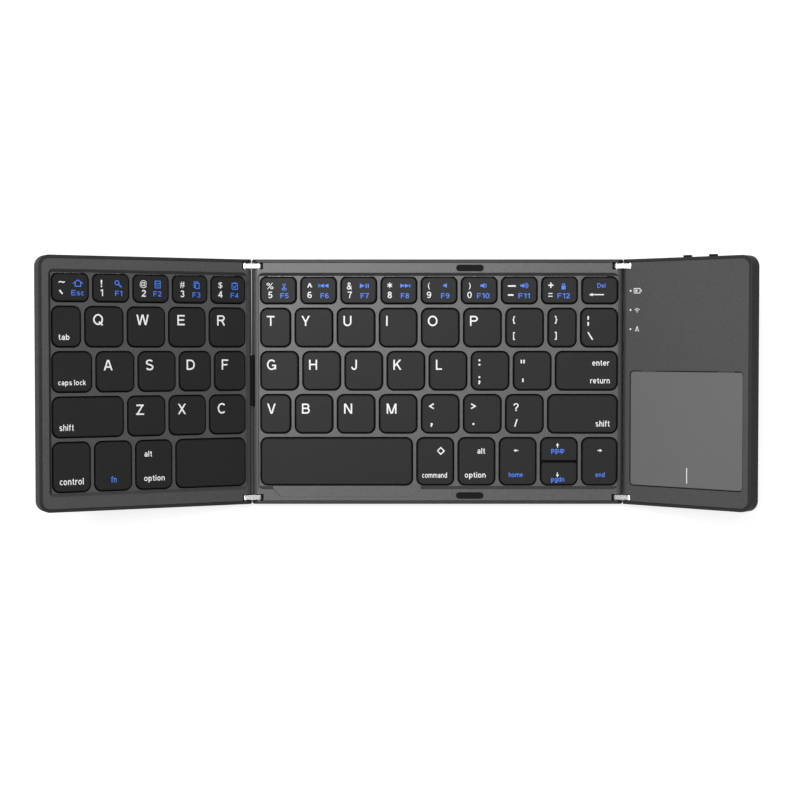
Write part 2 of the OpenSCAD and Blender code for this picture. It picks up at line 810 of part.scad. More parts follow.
module right_case() {
    color(plastic) on_right_wing() difference() {
        case_shell(right_x0, right_x1, hinge_wall_t, wall_t, -past, rim_w,
                   inner_r, outer_corner_r - rim_w) {
            right_block();
            union() {
                hinge_blocks(right_x0, 1);
                posts(right_screw_x);
                // pads under the main board
                for (x = [board_x0 + board_post_inset, board_x1 - board_post_inset],
                     y = [board_y0 + board_post_inset, board_y1 - board_post_inset])
                    translate([x, y, floor_t / 2])
                        cylinder(h = board_z - floor_t / 2, r = board_post_r);
                // pillars under the touchpad's tabs
                for (side = [-1, 1])
                    translate([pad_mid_x + side * tab_x - pillar_w / 2, pillar_y, floor_t / 2])
                        cube([pillar_w, pad_y1 + tab_l - pillar_y, bracket_z - lay - floor_t / 2]);
                // stop under the touchpad's front edge
                translate([pad_mid_x, pad_y0 + stop_inset, floor_t / 2])
                    cylinder(h = pad_z - pad_travel - play - floor_t / 2, r = stop_r);
            }
        }
        hinge_slots(gap_x, outer_pin_x);
        screw_holes(right_screw_x);
        knob_slot(switch_x1);
        knob_slot(switch_x2);
        socket_room(wall_t + past);
    }
}

// ---------- Decks ----------

// Bosses that hang from a deck and hold the screws
module deck_bosses(places) {
    for (x = places, y = [-1, 1]) translate([x, y * screw_y, plate_z + plate_t])
        cylinder(h = deck_z - plate_z, r = boss_r);
}

module boss_holes(places) {
    for (x = places, y = [-1, 1]) translate([x, y * screw_y, 0])
        cylinder(h = screw_tip_z + play, r = screw_r + pin_seat);
}

// Frame slab inside the rim, with a bevelled top; ends below zero run out to a hinge edge
module deck_frame(x0, x1, end0, end1, r0, r1) {
    translate([x0 + end0, 0, 0])
        moulded(x1 - x0 - end0 - end1, panel_d - 2 * (rim_w + seam), r0, r1, [
            [0, deck_z], [0, panel_t - deck_bevel], [deck_bevel + play, panel_t + play]
        ]);
}

// Key well between two x places: sloping front and rear walls, straight ends, round corners
module well(ends, r) {
    w = ends[1] - ends[0];
    y0 = -panel_d / 2 + well_front;
    y1 = panel_d / 2 - well_rear;
    translate([ends[0], 0, 0]) intersection() {
        translate([w / 2, (y0 + y1) / 2, 0]) linear_extrude(panel_t + past) rounded(w, y1 - y0, r);
        rotate([90, 0, 90]) linear_extrude(w) polygon([
            [y0 + well_slope, well_z], [y1 - well_slope, well_z],
            [y1, panel_t], [y1, panel_t + past], [y0, panel_t + past], [y0, panel_t]
        ]);
    }
}

module key_place(panel, row, i) {
    translate([key_x(panel, row, i), row_y(row), 0]) children();
}

module key_openings(panel) {
    for (row = [0:BOTTOM], i = [0:len(rows[panel][row]) - 1]) key_place(panel, row, i)
        translate([0, 0, grid_z - past]) linear_extrude(panel_t) rounded(
            widths(panel, row)[i] + 2 * cap_clearance,
            row_d[row] + 2 * cap_clearance,
            corner_r(row) + cap_clearance);
}

// Trapezoid in front of the space bar that lets a thumb reach its edge
module thumb_scoop() {
    y0 = -panel_d / 2 + well_front;
    translate([0, 0, well_z]) linear_extrude(panel_t) polygon([
        [scoop_x0, y0 + past + well_slope], [scoop_x0, y0],
        [scoop_x0 + scoop_slant, y0 - scoop_d], [scoop_x1 - scoop_slant, y0 - scoop_d],
        [scoop_x1, y0], [scoop_x1, y0 + past + well_slope]
    ]);
}

module bumpers(x, grow = 0, height = bumper_seat + bumper_out) {
    front_and_rear() translate([x, panel_d / 2 - bumper_inset, panel_t - bumper_seat])
        linear_extrude(height)
            rounded(bumper_l + 2 * grow, bumper_w + 2 * grow, bumper_r + grow);
}

module centre_deck() {
    color(deck_grey) standing() difference() {
        union() {
            intersection() {
                centre_block();
                union() {
                    deck_frame(centre_x0, centre_x1, -past, -past, inner_r, inner_r);
                    difference() {
                        slab(centre_x0 + hinge_wall_t + seam, centre_x1 - hinge_wall_t - seam,
                             grid_inset, grid_z, deck_z + past);
                        hinge_blocks(centre_x0, 1, seam);
                        hinge_blocks(centre_x1, -1, seam);
                    }
                    // floor of the thumb scoop
                    translate([scoop_x0 - grid_lap, -panel_d / 2 + wall_t + seam, grid_z])
                        cube([scoop_x1 - scoop_x0 + 2 * grid_lap, grid_inset, deck_z - grid_z + past]);
                }
            }
            deck_bosses(centre_screw_x);
        }
        well(centre_well, well_corner_r);
        thumb_scoop();
        key_openings(CENTRE);
        hinge_slots(-gap_x, -inner_pin_x);
        hinge_slots(gap_x, inner_pin_x);
        tube_notch();
        boss_holes(centre_screw_x);
        bumpers(bumper_x, lay, bumper_seat + past);
    }
}

module left_deck() {
    color(deck_grey) on_left_wing() difference() {
        union() {
            intersection() {
                left_block();
                union() {
                    deck_frame(left_x0, left_x1, rim_w + seam, -past,
                               outer_corner_r - rim_w - seam, inner_r);
                    difference() {
                        slab(left_x0 + wall_t + seam, left_x1 - hinge_wall_t - seam,
                             grid_inset, grid_z, deck_z + past);
                        hinge_blocks(left_x1, -1, seam);
                    }
                }
            }
            deck_bosses(left_screw_x);
        }
        intersection() {
            well(left_well, well_corner_r);
            // the outer end slopes as well
            rotate([90, 0, 0]) linear_extrude(panel_d, center = true) polygon([
                [left_well[0] + well_slope, well_z], [-gap_x, well_z], [-gap_x, panel_t + past],
                [left_well[0], panel_t + past], [left_well[0], panel_t]
            ]);
        }
        key_openings(LEFT);
        hinge_slots(-gap_x, -outer_pin_x);
        tube_notch();
        boss_holes(left_screw_x);
    }
}

module pad_opening() {
    translate([pad_mid_x, pad_mid_y, 0]) linear_extrude(panel_t + past)
        rounded(pad_w + 2 * pad_clearance, pad_d + 2 * pad_clearance, pad_corner_r + pad_clearance);
}

module right_deck() {
    color(deck_grey) on_right_wing() difference() {
        union() {
            intersection() {
                right_block();
                deck_frame(right_x0, right_x1, -past, rim_w + seam,
                           inner_r, outer_corner_r - rim_w - seam);
            }
            deck_bosses(right_screw_x);
        }
        pad_opening();
        socket_room(socket_body_l + plate_play + play);
        hinge_slots(gap_x, outer_pin_x);
        boss_holes(right_screw_x);
        for (y = light_ys) translate([light_xs, y, 0])
            cylinder(h = panel_t + past, r = light_r + lay);
    }
}

// ---------- Plates, sheets and keys ----------

module plate_holes(places) {
    for (x = places, y = [-1, 1]) translate([x, y * screw_y, 0])
        cylinder(h = panel_t, r = screw_r + 2 * play);
}

module centre_support_plate() {
    color(steel) standing() difference() {
        slab(-gap_x + tube_wall_x + plate_play, centre_x1 - hinge_wall_t - plate_play,
             wall_t + plate_play, plate_z, plate_z + plate_t);
        hinge_blocks(centre_x0, 1, plate_play);
        hinge_blocks(centre_x1, -1, plate_play);
        plate_holes(centre_screw_x);
    }
}

module left_support_plate() {
    color(steel) on_left_wing() difference() {
        slab(left_x0 + wall_t + plate_play, -gap_x - tube_wall_x - plate_play,
             wall_t + plate_play, plate_z, plate_z + plate_t, outer_corner_r - wall_t, inner_r);
        hinge_blocks(left_x1, -1, plate_play);
        plate_holes(left_screw_x);
        tongue(plate_play);
    }
}

module dome() {
    top_z = cap_roof_z - dome_gap;
    rotate_extrude() polygon([
        [0, sheet_z], [dome_r, sheet_z], [dome_r, sheet_top_z + dome_skirt],
        [dome_top_r, top_z - dome_face], [dome_top_r, top_z], [0, top_z]
    ]);
}

module domes(panel) {
    for (row = [0:BOTTOM], i = [0:len(rows[panel][row]) - 1]) key_place(panel, row, i)
        if (panel == CENTRE && row == BOTTOM && i == SPLIT)
            for (side = [-1, 1]) translate([0, side * half_shift, 0]) dome();
        else
            dome();
}

module centre_dome_sheet() {
    color(rubber_black) standing() {
        slab(-gap_x + tube_wall_x + plate_play, centre_x1 - hinge_wall_t - plate_play,
             ear_end + plate_play, sheet_z, sheet_top_z);
        domes(CENTRE);
    }
}

module left_dome_sheet() {
    color(rubber_black) on_left_wing() {
        slab(left_x0 + wall_t + plate_play, -gap_x - tube_wall_x - plate_play,
             ear_end + plate_play, sheet_z, sheet_top_z);
        domes(LEFT);
    }
}

// Hollow cap whose front and rear corners may differ
module keycap(w, d, r_front, r_rear) {
    translate([0, -d / 2, 0]) rotate([0, 0, 90]) difference() {
        moulded(d, w, r_front, r_rear,
                [[0, cap_z], [0, cap_top_z - cap_bevel], [cap_bevel, cap_top_z]]);
        translate([cap_wall, 0, 0])
            moulded(d - 2 * cap_wall, w - 2 * cap_wall,
                    max(r_front - cap_wall, cap_inner_r), max(r_rear - cap_wall, cap_inner_r),
                    [[0, cap_z - past], [0, cap_roof_z]]);
    }
}

module keys(panel, row, first, last) {
    color(key_black) for (i = [first:last]) key_place(panel, row, i)
        keycap(widths(panel, row)[i], row_d[row], corner_r(row), corner_r(row));
}

module half_key(side) {
    color(key_black) key_place(CENTRE, BOTTOM, SPLIT) translate([0, side * half_shift, 0])
        keycap(widths(CENTRE, BOTTOM)[SPLIT], half_d,
               side > 0 ? arrow_up_r : cap_corner_r, side > 0 ? cap_corner_r : arrow_down_r);
}

module homing_bar(panel, i) {
    color(key_black) key_place(panel, HOME, i)
        translate([0, homing_inset - row_d[HOME] / 2, cap_top_z - root])
            linear_extrude(homing_h + root) rounded(homing_l, homing_w, homing_w / 2 - lay);
}

// A group of keys: panel, row, first and last key, counted from 0 at the left
module escape_key() { on_left_wing() keys(LEFT, NUMBERS, 0, 0); }
module number_keys_left() { on_left_wing() keys(LEFT, NUMBERS, 1, 4); }
module tab_key() { on_left_wing() keys(LEFT, UPPER, 0, 0); }
module upper_letter_keys_left() { on_left_wing() keys(LEFT, UPPER, 1, 4); }
module caps_lock_key() { on_left_wing() keys(LEFT, HOME, 0, 0); }
module home_letter_keys_left() {
    on_left_wing() {
        keys(LEFT, HOME, 1, 4);
        homing_bar(LEFT, 4);
    }
}
module left_shift_key() { on_left_wing() keys(LEFT, LOWER, 0, 0); }
module lower_letter_keys_left() { on_left_wing() keys(LEFT, LOWER, 1, 3); }
module control_key() { on_left_wing() keys(LEFT, BOTTOM, 0, 0); }
module function_key() { on_left_wing() keys(LEFT, BOTTOM, 1, 1); }
module left_option_key() { on_left_wing() keys(LEFT, BOTTOM, 2, 2); }
module left_space_bar() { on_left_wing() keys(LEFT, BOTTOM, 3, 3); }

module number_keys_centre() { standing() keys(CENTRE, NUMBERS, 0, 7); }
module delete_key() { standing() keys(CENTRE, NUMBERS, 8, 8); }
module upper_letter_keys_centre() { standing() keys(CENTRE, UPPER, 0, 8); }
module home_letter_keys_centre() {
    standing() {
        keys(CENTRE, HOME, 0, 6);
        homing_bar(CENTRE, 2);
    }
}
module enter_key() { standing() keys(CENTRE, HOME, 7, 7); }
module lower_letter_keys_centre() { standing() keys(CENTRE, LOWER, 0, 6); }
module right_shift_key() { standing() keys(CENTRE, LOWER, 7, 7); }
module space_bar() { standing() keys(CENTRE, BOTTOM, 0, 0); }
module command_key() { standing() keys(CENTRE, BOTTOM, 1, 1); }
module right_option_key() { standing() keys(CENTRE, BOTTOM, 2, 2); }
module arrow_left_key() { standing() keys(CENTRE, BOTTOM, 3, 3); }
module arrow_up_key() { standing() half_key(1); }
module arrow_down_key() { standing() half_key(-1); }
module arrow_right_key() { standing() keys(CENTRE, BOTTOM, 5, 5); }

// ---------- Feet, bumpers, screws, pins and links ----------

module feet(places) {
    color(rubber_black) for (x = places, y = [-1, 1])
        translate([x, y * screw_y, -foot_h]) cylinder(h = foot_h, r = foot_r);
}

module screws(places) {
    color(steel) for (x = places, y = [-1, 1]) translate([x, y * screw_y, play]) difference() {
        union() {
            cylinder(h = screw_head_h, r = screw_head_r);
            cylinder(h = screw_tip_z - play, r = screw_r);
        }
        for (turn = [0, 90]) rotate([0, 0, turn]) translate([0, 0, recess_depth / 2 - past / 2])
            cube([recess_l, recess_w, recess_depth + past], center = true);
    }
}

module centre_bumpers() { color(rubber_black) standing() bumpers(bumper_x); }
module centre_feet() { standing() feet([centre_screw_x[0], centre_screw_x[2]]); }
module left_feet() { on_left_wing() feet([left_screw_x[0]]); }
module right_feet() { on_right_wing() feet([right_screw_x[1]]); }
module centre_screws() { standing() screws(centre_screw_x); }
module left_screws() { on_left_wing() screws(left_screw_x); }
module right_screws() { on_right_wing() screws(right_screw_x); }
module centre_hinge_pins() {
    color(steel) standing() {
        hinge_pins(-inner_pin_x);
        hinge_pins(inner_pin_x);
    }
}
module left_hinge_pins() { color(steel) on_left_wing() hinge_pins(-outer_pin_x); }
module right_hinge_pins() { color(steel) on_right_wing() hinge_pins(outer_pin_x); }
module left_hinge_links() { on_left_link() hinge_links(-inner_pin_x, -1); }
module right_hinge_links() { on_right_link() hinge_links(inner_pin_x, 1); }

// ---------- Right wing ----------

module touchpad() {
    color(pad_grey) on_right_wing() {
        translate([pad_mid_x - pad_w / 2, pad_mid_y, 0])
            moulded(pad_w, pad_d, pad_corner_r, pad_corner_r,
                    [[0, pad_z], [0, pad_top_z - pad_bevel], [pad_bevel, pad_top_z]]);
        translate([pad_mid_x - tab_x - tab_width / 2, pad_y1 - bracket_in, bracket_z])
            cube([2 * tab_x + tab_width, bracket_in - pad_clearance, bracket_t]);
        for (side = [-1, 1])
            translate([pad_mid_x + side * tab_x - tab_width / 2, pad_y1 - bracket_in, bracket_z])
                cube([tab_width, bracket_in + tab_l, deck_z - tab_play - bracket_z]);
    }
}

module chip(x, y, size) {
    translate([x, y, board_top - root]) cube([size.x, size.y, size.z + root]);
}

module main_board() {
    tongue_x0 = right_screw_x[0] + post_r + plate_play;
    tongue_x1 = right_screw_x[1] - post_r - plate_play;
    chips_y = board_y0 + 2 * chip_gap;
    color(board_green) on_right_wing() {
        translate([board_x0, board_y0, board_z])
            cube([board_x1 - board_x0, board_y1 - board_y0, board_t]);
        // tongue between the rear screws that carries the socket and the switches
        translate([tongue_x0, board_y1 - root, board_z])
            cube([tongue_x1 - tongue_x0, board_rear - board_y1 + root, board_t]);
        // slide switch bodies
        for (x = [switch_x1, switch_x2])
            translate([x - knob_w / 2 - switch_body_wall, board_rear - switch_body_d, board_top - root])
                cube([knob_w + knob_travel + 2 * switch_body_wall, switch_body_d,
                      switch_body_h + root]);
        chip(pad_mid_x - chip_gap, chips_y, processor);
        chip(pad_mid_x + chip_gap, chips_y, radio);
        chip(board_x0 + chip_gap, chips_y, charger);
    }
}

module battery() {
    color(steel) on_right_wing() translate([pad_mid_x, battery_y, floor_t])
        linear_extrude(battery_t) rounded(battery_w, battery_d, battery_r);
}

// Sheet-metal shell, open to the rear, with a tongue for the contacts inside
module charging_socket() {
    mouth_l = socket_body_l - socket_back;
    color(steel) on_right_wing()
        translate([socket_mid_x, panel_d / 2 - plate_play, board_top + lay + socket_body_h / 2])
            rotate([90, 0, 0]) difference() {
                linear_extrude(socket_body_l) rounded(socket_body_w, socket_body_h, socket_r);
                difference() {
                    translate([0, 0, -past]) linear_extrude(mouth_l + past)
                        rounded(socket_w, socket_h, socket_r - socket_wall);
                    translate([socket_tongue_gap - socket_w / 2, 0, socket_tongue_in])
                        cube([socket_w - 2 * socket_tongue_gap, socket_tongue_t, mouth_l]);
                }
            }
}

module indicator_lights() {
    color("white") on_right_wing() for (y = light_ys) translate([light_xs, y, board_top])
        cylinder(h = panel_t - lay - board_top, r = light_r);
}

// Knob with a ridged face; it starts inside the rear wall and stands out of it
module knob(x) {
    knob_d = knob_root + wall_t + knob_out;
    color(rubber_black) on_right_wing()
        translate([x - knob_w / 2, panel_d / 2 - wall_t - knob_root, switch_z - knob_h / 2])
            difference() {
                cube([knob_w, knob_d, knob_h]);
                for (i = [1:ridge_count])
                    translate([i * knob_w / (ridge_count + 1) - ridge_w / 2, knob_d - ridge_w, -past])
                        cube([ridge_w, 2 * ridge_w, knob_h + 2 * past]);
            }
}

module power_switch_knob() { knob(switch_x1); }
module mode_switch_knob() { knob(switch_x2); }

centre_case();
centre_deck();
centre_support_plate();
centre_dome_sheet();
centre_bumpers();
centre_feet();
centre_screws();
centre_hinge_pins();
left_case();
left_deck();
left_support_plate();
left_dome_sheet();
left_feet();
left_screws();
left_hinge_pins();
left_cable_tube();
left_hinge_links();
right_hinge_links();
right_case();
right_deck();
touchpad();
main_board();
battery();
charging_socket();
indicator_lights();
power_switch_knob();
mode_switch_knob();
right_feet();
right_screws();
right_hinge_pins();
escape_key();
number_keys_left();
tab_key();
upper_letter_keys_left();
caps_lock_key();
home_letter_keys_left();
left_shift_key();
lower_letter_keys_left();
control_key();
function_key();
left_option_key();
left_space_bar();
number_keys_centre();
delete_key();
upper_letter_keys_centre();
home_letter_keys_centre();
enter_key();
lower_letter_keys_centre();
right_shift_key();
space_bar();
command_key();
right_option_key();
arrow_left_key();
arrow_up_key();
arrow_down_key();
arrow_right_key();
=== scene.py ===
"""Looks of a three-panel folding keyboard with a touchpad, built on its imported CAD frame."""

import json
import math

import bmesh
import bpy
import numpy as np
from mathutils import Matrix, Vector

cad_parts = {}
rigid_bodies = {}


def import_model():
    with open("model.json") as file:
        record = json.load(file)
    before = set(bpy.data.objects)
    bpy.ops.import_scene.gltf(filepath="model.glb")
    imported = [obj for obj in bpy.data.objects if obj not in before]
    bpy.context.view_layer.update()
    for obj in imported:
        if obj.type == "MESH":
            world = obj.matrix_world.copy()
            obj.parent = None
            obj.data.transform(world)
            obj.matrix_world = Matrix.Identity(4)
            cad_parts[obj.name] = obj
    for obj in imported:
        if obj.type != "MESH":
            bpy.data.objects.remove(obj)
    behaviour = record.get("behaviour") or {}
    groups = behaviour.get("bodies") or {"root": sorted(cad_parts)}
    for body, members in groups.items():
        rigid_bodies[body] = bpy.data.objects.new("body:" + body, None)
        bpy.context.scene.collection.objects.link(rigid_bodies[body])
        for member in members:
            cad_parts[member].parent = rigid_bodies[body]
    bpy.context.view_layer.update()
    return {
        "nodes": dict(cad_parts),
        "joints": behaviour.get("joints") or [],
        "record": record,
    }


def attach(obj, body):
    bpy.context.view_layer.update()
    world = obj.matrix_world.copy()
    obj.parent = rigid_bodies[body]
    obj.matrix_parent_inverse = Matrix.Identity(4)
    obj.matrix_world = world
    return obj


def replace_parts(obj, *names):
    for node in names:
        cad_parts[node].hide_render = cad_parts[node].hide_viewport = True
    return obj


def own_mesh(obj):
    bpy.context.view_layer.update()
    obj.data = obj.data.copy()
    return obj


MM = 0.001
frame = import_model()
JOINTS = {joint["name"]: joint for joint in frame["joints"]}


def show(name, data):
    """Puts an object with this data in the scene."""
    holder = bpy.data.objects.new(name, data)
    bpy.context.scene.collection.objects.link(holder)
    return holder


# ---------- Camera, as the photograph was taken ----------

PICTURE_PX = 800
FOCAL_PX = 1704.7
SENSOR_MM = 36
CAMERA_AT = Vector((1.14, 14.37, 690.43)) * MM
CAMERA_TILT = math.radians(-1.812)
# In metres from the camera
NEAREST_SEEN = 0.01
FURTHEST_SEEN = 20


def add_camera():
    camera = bpy.data.cameras.new("camera")
    camera.sensor_width = SENSOR_MM
    camera.lens = SENSOR_MM * FOCAL_PX / PICTURE_PX
    camera.clip_start = NEAREST_SEEN
    camera.clip_end = FURTHEST_SEEN
    holder = show("camera", camera)
    holder.location = CAMERA_AT
    holder.rotation_euler = (CAMERA_TILT, 0, 0)
    bpy.context.scene.camera = holder


# ---------- Materials ----------

# Most of a noise texture lies between these values
NOISE_SPAN = (0.3, 0.7)


class Nodes:
    """A material's node tree, with its Principled shader and a few shorthands."""

    def __init__(self, name):
        self.material = bpy.data.materials.new(name)
        self.material.use_nodes = True
        self.tree = self.material.node_tree
        self.shader = self.tree.nodes["Principled BSDF"]
        self.output = self.tree.nodes["Material Output"]
        self.place = self.tree.nodes.new("ShaderNodeTexCoord").outputs["Object"]

    def new(self, kind, **values):
        node = self.tree.nodes.new("ShaderNode" + kind)
        for key, value in values.items():
            setattr(node, key, value)
        return node

    def link(self, source, target):
        self.tree.links.new(source, target)

    def put(self, socket, value):
        """Sets one of the shader's own sockets."""
        self.shader.inputs[socket].default_value = value

    def noise(self, grain_mm, detail=3, stretch=None):
        """Noise whose lumps are about grain_mm across."""
        node = self.new("TexNoise")
        node.inputs["Scale"].default_value = 1 / (grain_mm * MM)
        node.inputs["Detail"].default_value = detail
        if stretch is None:
            self.link(self.place, node.inputs["Vector"])
        else:
            mapping = self.new("Mapping")
            mapping.inputs["Scale"].default_value = stretch
            self.link(self.place, mapping.inputs["Vector"])
            self.link(mapping.outputs["Vector"], node.inputs["Vector"])
        return node.outputs["Fac"]

    def blend(self, factor, colour_a, colour_b):
        """A colour between two, by a texture."""
        node = self.new("Mix", data_type="RGBA")
        node.inputs["A"].default_value = (*colour_a, 1)
        node.inputs["B"].default_value = (*colour_b, 1)
        self.link(factor, node.inputs["Factor"])
        return node.outputs["Result"]

    def ramp(self, source, source_span, span, easing="LINEAR"):
        """A number that runs over one span while its source runs over another."""
        node = self.new("MapRange", interpolation_type=easing)
        sockets = ("From Min", "From Max", "To Min", "To Max")
        for socket, value in zip(sockets, (*source_span, *span)):
            node.inputs[socket].default_value = value
        self.link(source, node.inputs["Value"])
        return node.outputs["Result"]

    def spread(self, texture, low, high):
        """A number from low to high, by a texture."""
        return self.ramp(texture, NOISE_SPAN, (low, high))

    def product(self, first, second):
        node = self.new("Math", operation="MULTIPLY")
        self.link(first, node.inputs[0])
        self.link(second, node.inputs[1])
        return node.outputs["Value"]

    def tint(self, texture, dark, light):
        """Base colour between two, by a texture."""
        self.link(self.blend(texture, dark, light), self.shader.inputs["Base Color"])

    def roughen(self, texture, low, high):
        """Roughness between two values, by a texture."""
        self.link(self.spread(texture, low, high), self.shader.inputs["Roughness"])

    def bump(self, height, depth_mm):
        node = self.new("Bump")
        node.inputs["Distance"].default_value = depth_mm * MM
        self.link(height, node.inputs["Height"])
        self.link(node.outputs["Normal"], self.shader.inputs["Normal"])


# Blue of a neutral grey, as a share of its red and green
COOL = 1.02


def grey(level):
    """Linear colour of a neutral grey given as it looks, from 0 to 255, by the sRGB curve."""
    value = level / 255
    linear = value / 12.92 if value <= 0.04045 else ((value + 0.055) / 1.055) ** 2.4
    return (linear, linear, linear * COOL)


def shade(colour, factor):
    return tuple(c * factor for c in colour)


PLASTIC_IOR = 1.46
DRIFT_MM = 18
PLASTIC_UNEVEN = 0.05


def moulded_plastic(name, colour, roughness, grain_mm, depth_mm=0.012, mottle=0.06, fleck=0.1,
                    shine=0.5, metal=0):
    """Spark-eroded plastic: a fine grain in depth, tone and roughness, and a tone that drifts."""
    nodes = Nodes(name)
    nodes.put("Specular IOR Level", shine)
    nodes.put("Metallic", metal)
    nodes.put("IOR", PLASTIC_IOR)
    grain = nodes.noise(grain_mm)
    drift = nodes.noise(DRIFT_MM, detail=2)
    flecked = nodes.new("Mix", data_type="RGBA", blend_type="MULTIPLY")
    flecked.inputs["Factor"].default_value = 1
    tone = nodes.blend(drift, shade(colour, 1 - mottle), shade(colour, 1 + mottle))
    nodes.link(tone, flecked.inputs["A"])
    nodes.link(nodes.spread(grain, 1 - fleck, 1 + fleck), flecked.inputs["B"])
    nodes.link(flecked.outputs["Result"], nodes.shader.inputs["Base Color"])
    nodes.roughen(grain, roughness - PLASTIC_UNEVEN, roughness + PLASTIC_UNEVEN)
    nodes.bump(grain, depth_mm)
    return nodes.material


def brushed_metal(name, colour, roughness):
    """Metal with fine drawn lines along X."""
    nodes = Nodes(name)
    nodes.put("Metallic", 1)
    lines = nodes.noise(grain_mm=1.2, detail=4, stretch=(1, 12, 12))
    dark = shade(colour, 0.88)
    nodes.tint(lines, dark, colour)
    nodes.roughen(lines, low=roughness - 0.06, high=roughness + 0.08)
    nodes.bump(lines, depth_mm=0.004)
    return nodes.material


def soft_rubber(name, colour):
    """Matt rubber with a film of dust."""
    nodes = Nodes(name)
    nodes.put("Specular IOR Level", 0.2)
    dust = nodes.noise(grain_mm=0.6, detail=5)
    clean, dusty = shade(colour, 0.85), shade(colour, 1.25)
    nodes.tint(dust, clean, dusty)
    nodes.roughen(dust, low=0.72, high=0.88)
    nodes.bump(nodes.noise(grain_mm=0.3), depth_mm=0.01)
    return nodes.material


def printed_ink(name, colour):
    """Pad-printed ink: nearly flat, with slightly uneven cover."""
    nodes = Nodes(name)
    cover = nodes.noise(grain_mm=0.15)
    thin = shade(colour, 0.9)
    nodes.tint(cover, thin, colour)
    nodes.roughen(cover, low=0.45, high=0.6)
    nodes.bump(cover, depth_mm=0.003)
    return nodes.material


TRACKS_PER_M = 420
TRACK_W = 0.03
SOLDER_MASK = {"Color1": (0.012, 0.085, 0.04), "Color2": (0.015, 0.1, 0.05), "Mortar": (0.05, 0.2, 0.09)}


def circuit_board(name):
    """Green solder mask with faint copper tracks showing through."""
    nodes = Nodes(name)
    tracks = nodes.new("TexBrick")
    tracks.inputs["Scale"].default_value = TRACKS_PER_M
    tracks.inputs["Mortar Size"].default_value = TRACK_W
    for socket, colour in SOLDER_MASK.items():
        tracks.inputs[socket].default_value = (*colour, 1)
    nodes.link(nodes.place, tracks.inputs["Vector"])
    nodes.link(tracks.outputs["Color"], nodes.shader.inputs["Base Color"])
    nodes.roughen(nodes.noise(grain_mm=2), low=0.25, high=0.4)
    nodes.bump(tracks.outputs["Fac"], depth_mm=0.02)
    return nodes.material


def foil(name, colour):
    """Crinkled laminated foil of a battery pouch."""
    nodes = Nodes(name)
    nodes.put("Metallic", 0.9)
    crinkle = nodes.noise(grain_mm=3.5, detail=5)
    dark = shade(colour, 0.85)
    nodes.tint(crinkle, dark, colour)
    nodes.roughen(crinkle, low=0.3, high=0.45)
    nodes.bump(crinkle, depth_mm=0.15)
    return nodes.material


def light_pipe(name):
    """Cloudy white light pipe with a faint glow of its own."""
    nodes = Nodes(name)
    nodes.put("Emission Color", (1, 1, 1, 1))
    nodes.put("Emission Strength", 0.35)
    cloud = nodes.noise(grain_mm=0.5)
    milky, clear = (0.75, 0.78, 0.8), (0.9, 0.92, 0.94)
    nodes.tint(cloud, milky, clear)
    nodes.roughen(cloud, low=0.2, high=0.35)
    return nodes.material


STEEL = (0.6, 0.6, 0.62)

# Material of each slot in the record, made from the slot's name
FINISHES = {
    "case_plastic": lambda slot: moulded_plastic(
        slot, grey(50), roughness=0.4, grain_mm=0.3, shine=0.3, metal=0.3),
    "deck_plastic": lambda slot: moulded_plastic(
        slot, grey(80), roughness=0.4, grain_mm=0.45, fleck=0.22, shine=0.4, metal=0.28),
    "key_plastic": lambda slot: moulded_plastic(
        slot, grey(38), roughness=0.4, grain_mm=0.4, depth_mm=0.008, fleck=0.2, shine=0.12),
    "plate_steel": lambda slot: brushed_metal(slot, STEEL, roughness=0.35),
    "pin_steel": lambda slot: brushed_metal(slot, (0.62, 0.62, 0.63), roughness=0.28),
    "link_metal": lambda slot: brushed_metal(slot, (0.93, 0.93, 0.93), roughness=0.24),
    "dome_rubber": lambda slot: soft_rubber(slot, grey(10)),
    "foot_rubber": lambda slot: soft_rubber(slot, grey(18)),
    "touchpad_face": lambda slot: moulded_plastic(
        slot, grey(102), roughness=0.36, grain_mm=0.12, depth_mm=0.003, mottle=0.03),
    "circuit_board": circuit_board,
    "battery_foil": lambda slot: foil(slot, (0.7, 0.7, 0.72)),
    "socket_steel": lambda slot: brushed_metal(slot, STEEL, roughness=0.3),
    "light_pipe": light_pipe,
    "knob_plastic": lambda slot: moulded_plastic(
        slot, grey(18), roughness=0.45, grain_mm=0.15, shine=0.2),
}


def dress_nodes():
    """Gives each CAD node the material of its slot."""
    made = {slot: make(slot) for slot, make in FINISHES.items()}
    for part in frame["record"]["subparts"]:
        mesh = frame["nodes"][part["node"]].data
        mesh.materials.clear()
        mesh.materials.append(made[part["material_slot"]])
        mesh.polygons.foreach_set("material_index", [0] * len(mesh.polygons))


# ---------- Panels and their keys ----------


def tilt_of(joint_name):
    """Rest tilt of a wing: half of it is left at each of its two pins."""
    return -2 * math.radians(JOINTS[joint_name]["range_deg"][0])


PANELS = {
    "centre": Matrix.Identity(3),
    "left": Matrix.Rotation(tilt_of("left_inner_pivot"), 3, "Y"),
    "right": Matrix.Rotation(-tilt_of("right_inner_pivot"), 3, "Y"),
}


def on_panel(node, panel):
    """A node's vertices in its panel's own directions: across, towards the rear, out of the face."""
    turn = np.array(PANELS[panel])
    points = np.array([v.co for v in frame["nodes"][node].data.vertices])
    return points @ turn


# Faces further apart than this belong to different keycaps
KEY_GAP = 0.5 * MM


def key_boxes(node, panel):
    """(left, right, front, rear) of each keycap in a node, from left to right."""
    points = on_panel(node, panel)
    spans = []
    for polygon in frame["nodes"][node].data.polygons:
        across = points[list(polygon.vertices), 0]
        spans.append((across.min(), across.max()))
    spans.sort()
    joined = [list(spans[0])]
    for low, high in spans[1:]:
        if low > joined[-1][1] + KEY_GAP:
            joined.append([low, high])
        else:
            joined[-1][1] = max(joined[-1][1], high)
    front, rear = points[:, 1].min(), points[:, 1].max()
    return [(low, high, front, rear) for low, high in joined]


# ---------- Lettering: an upright grotesque drawn with strokes ----------

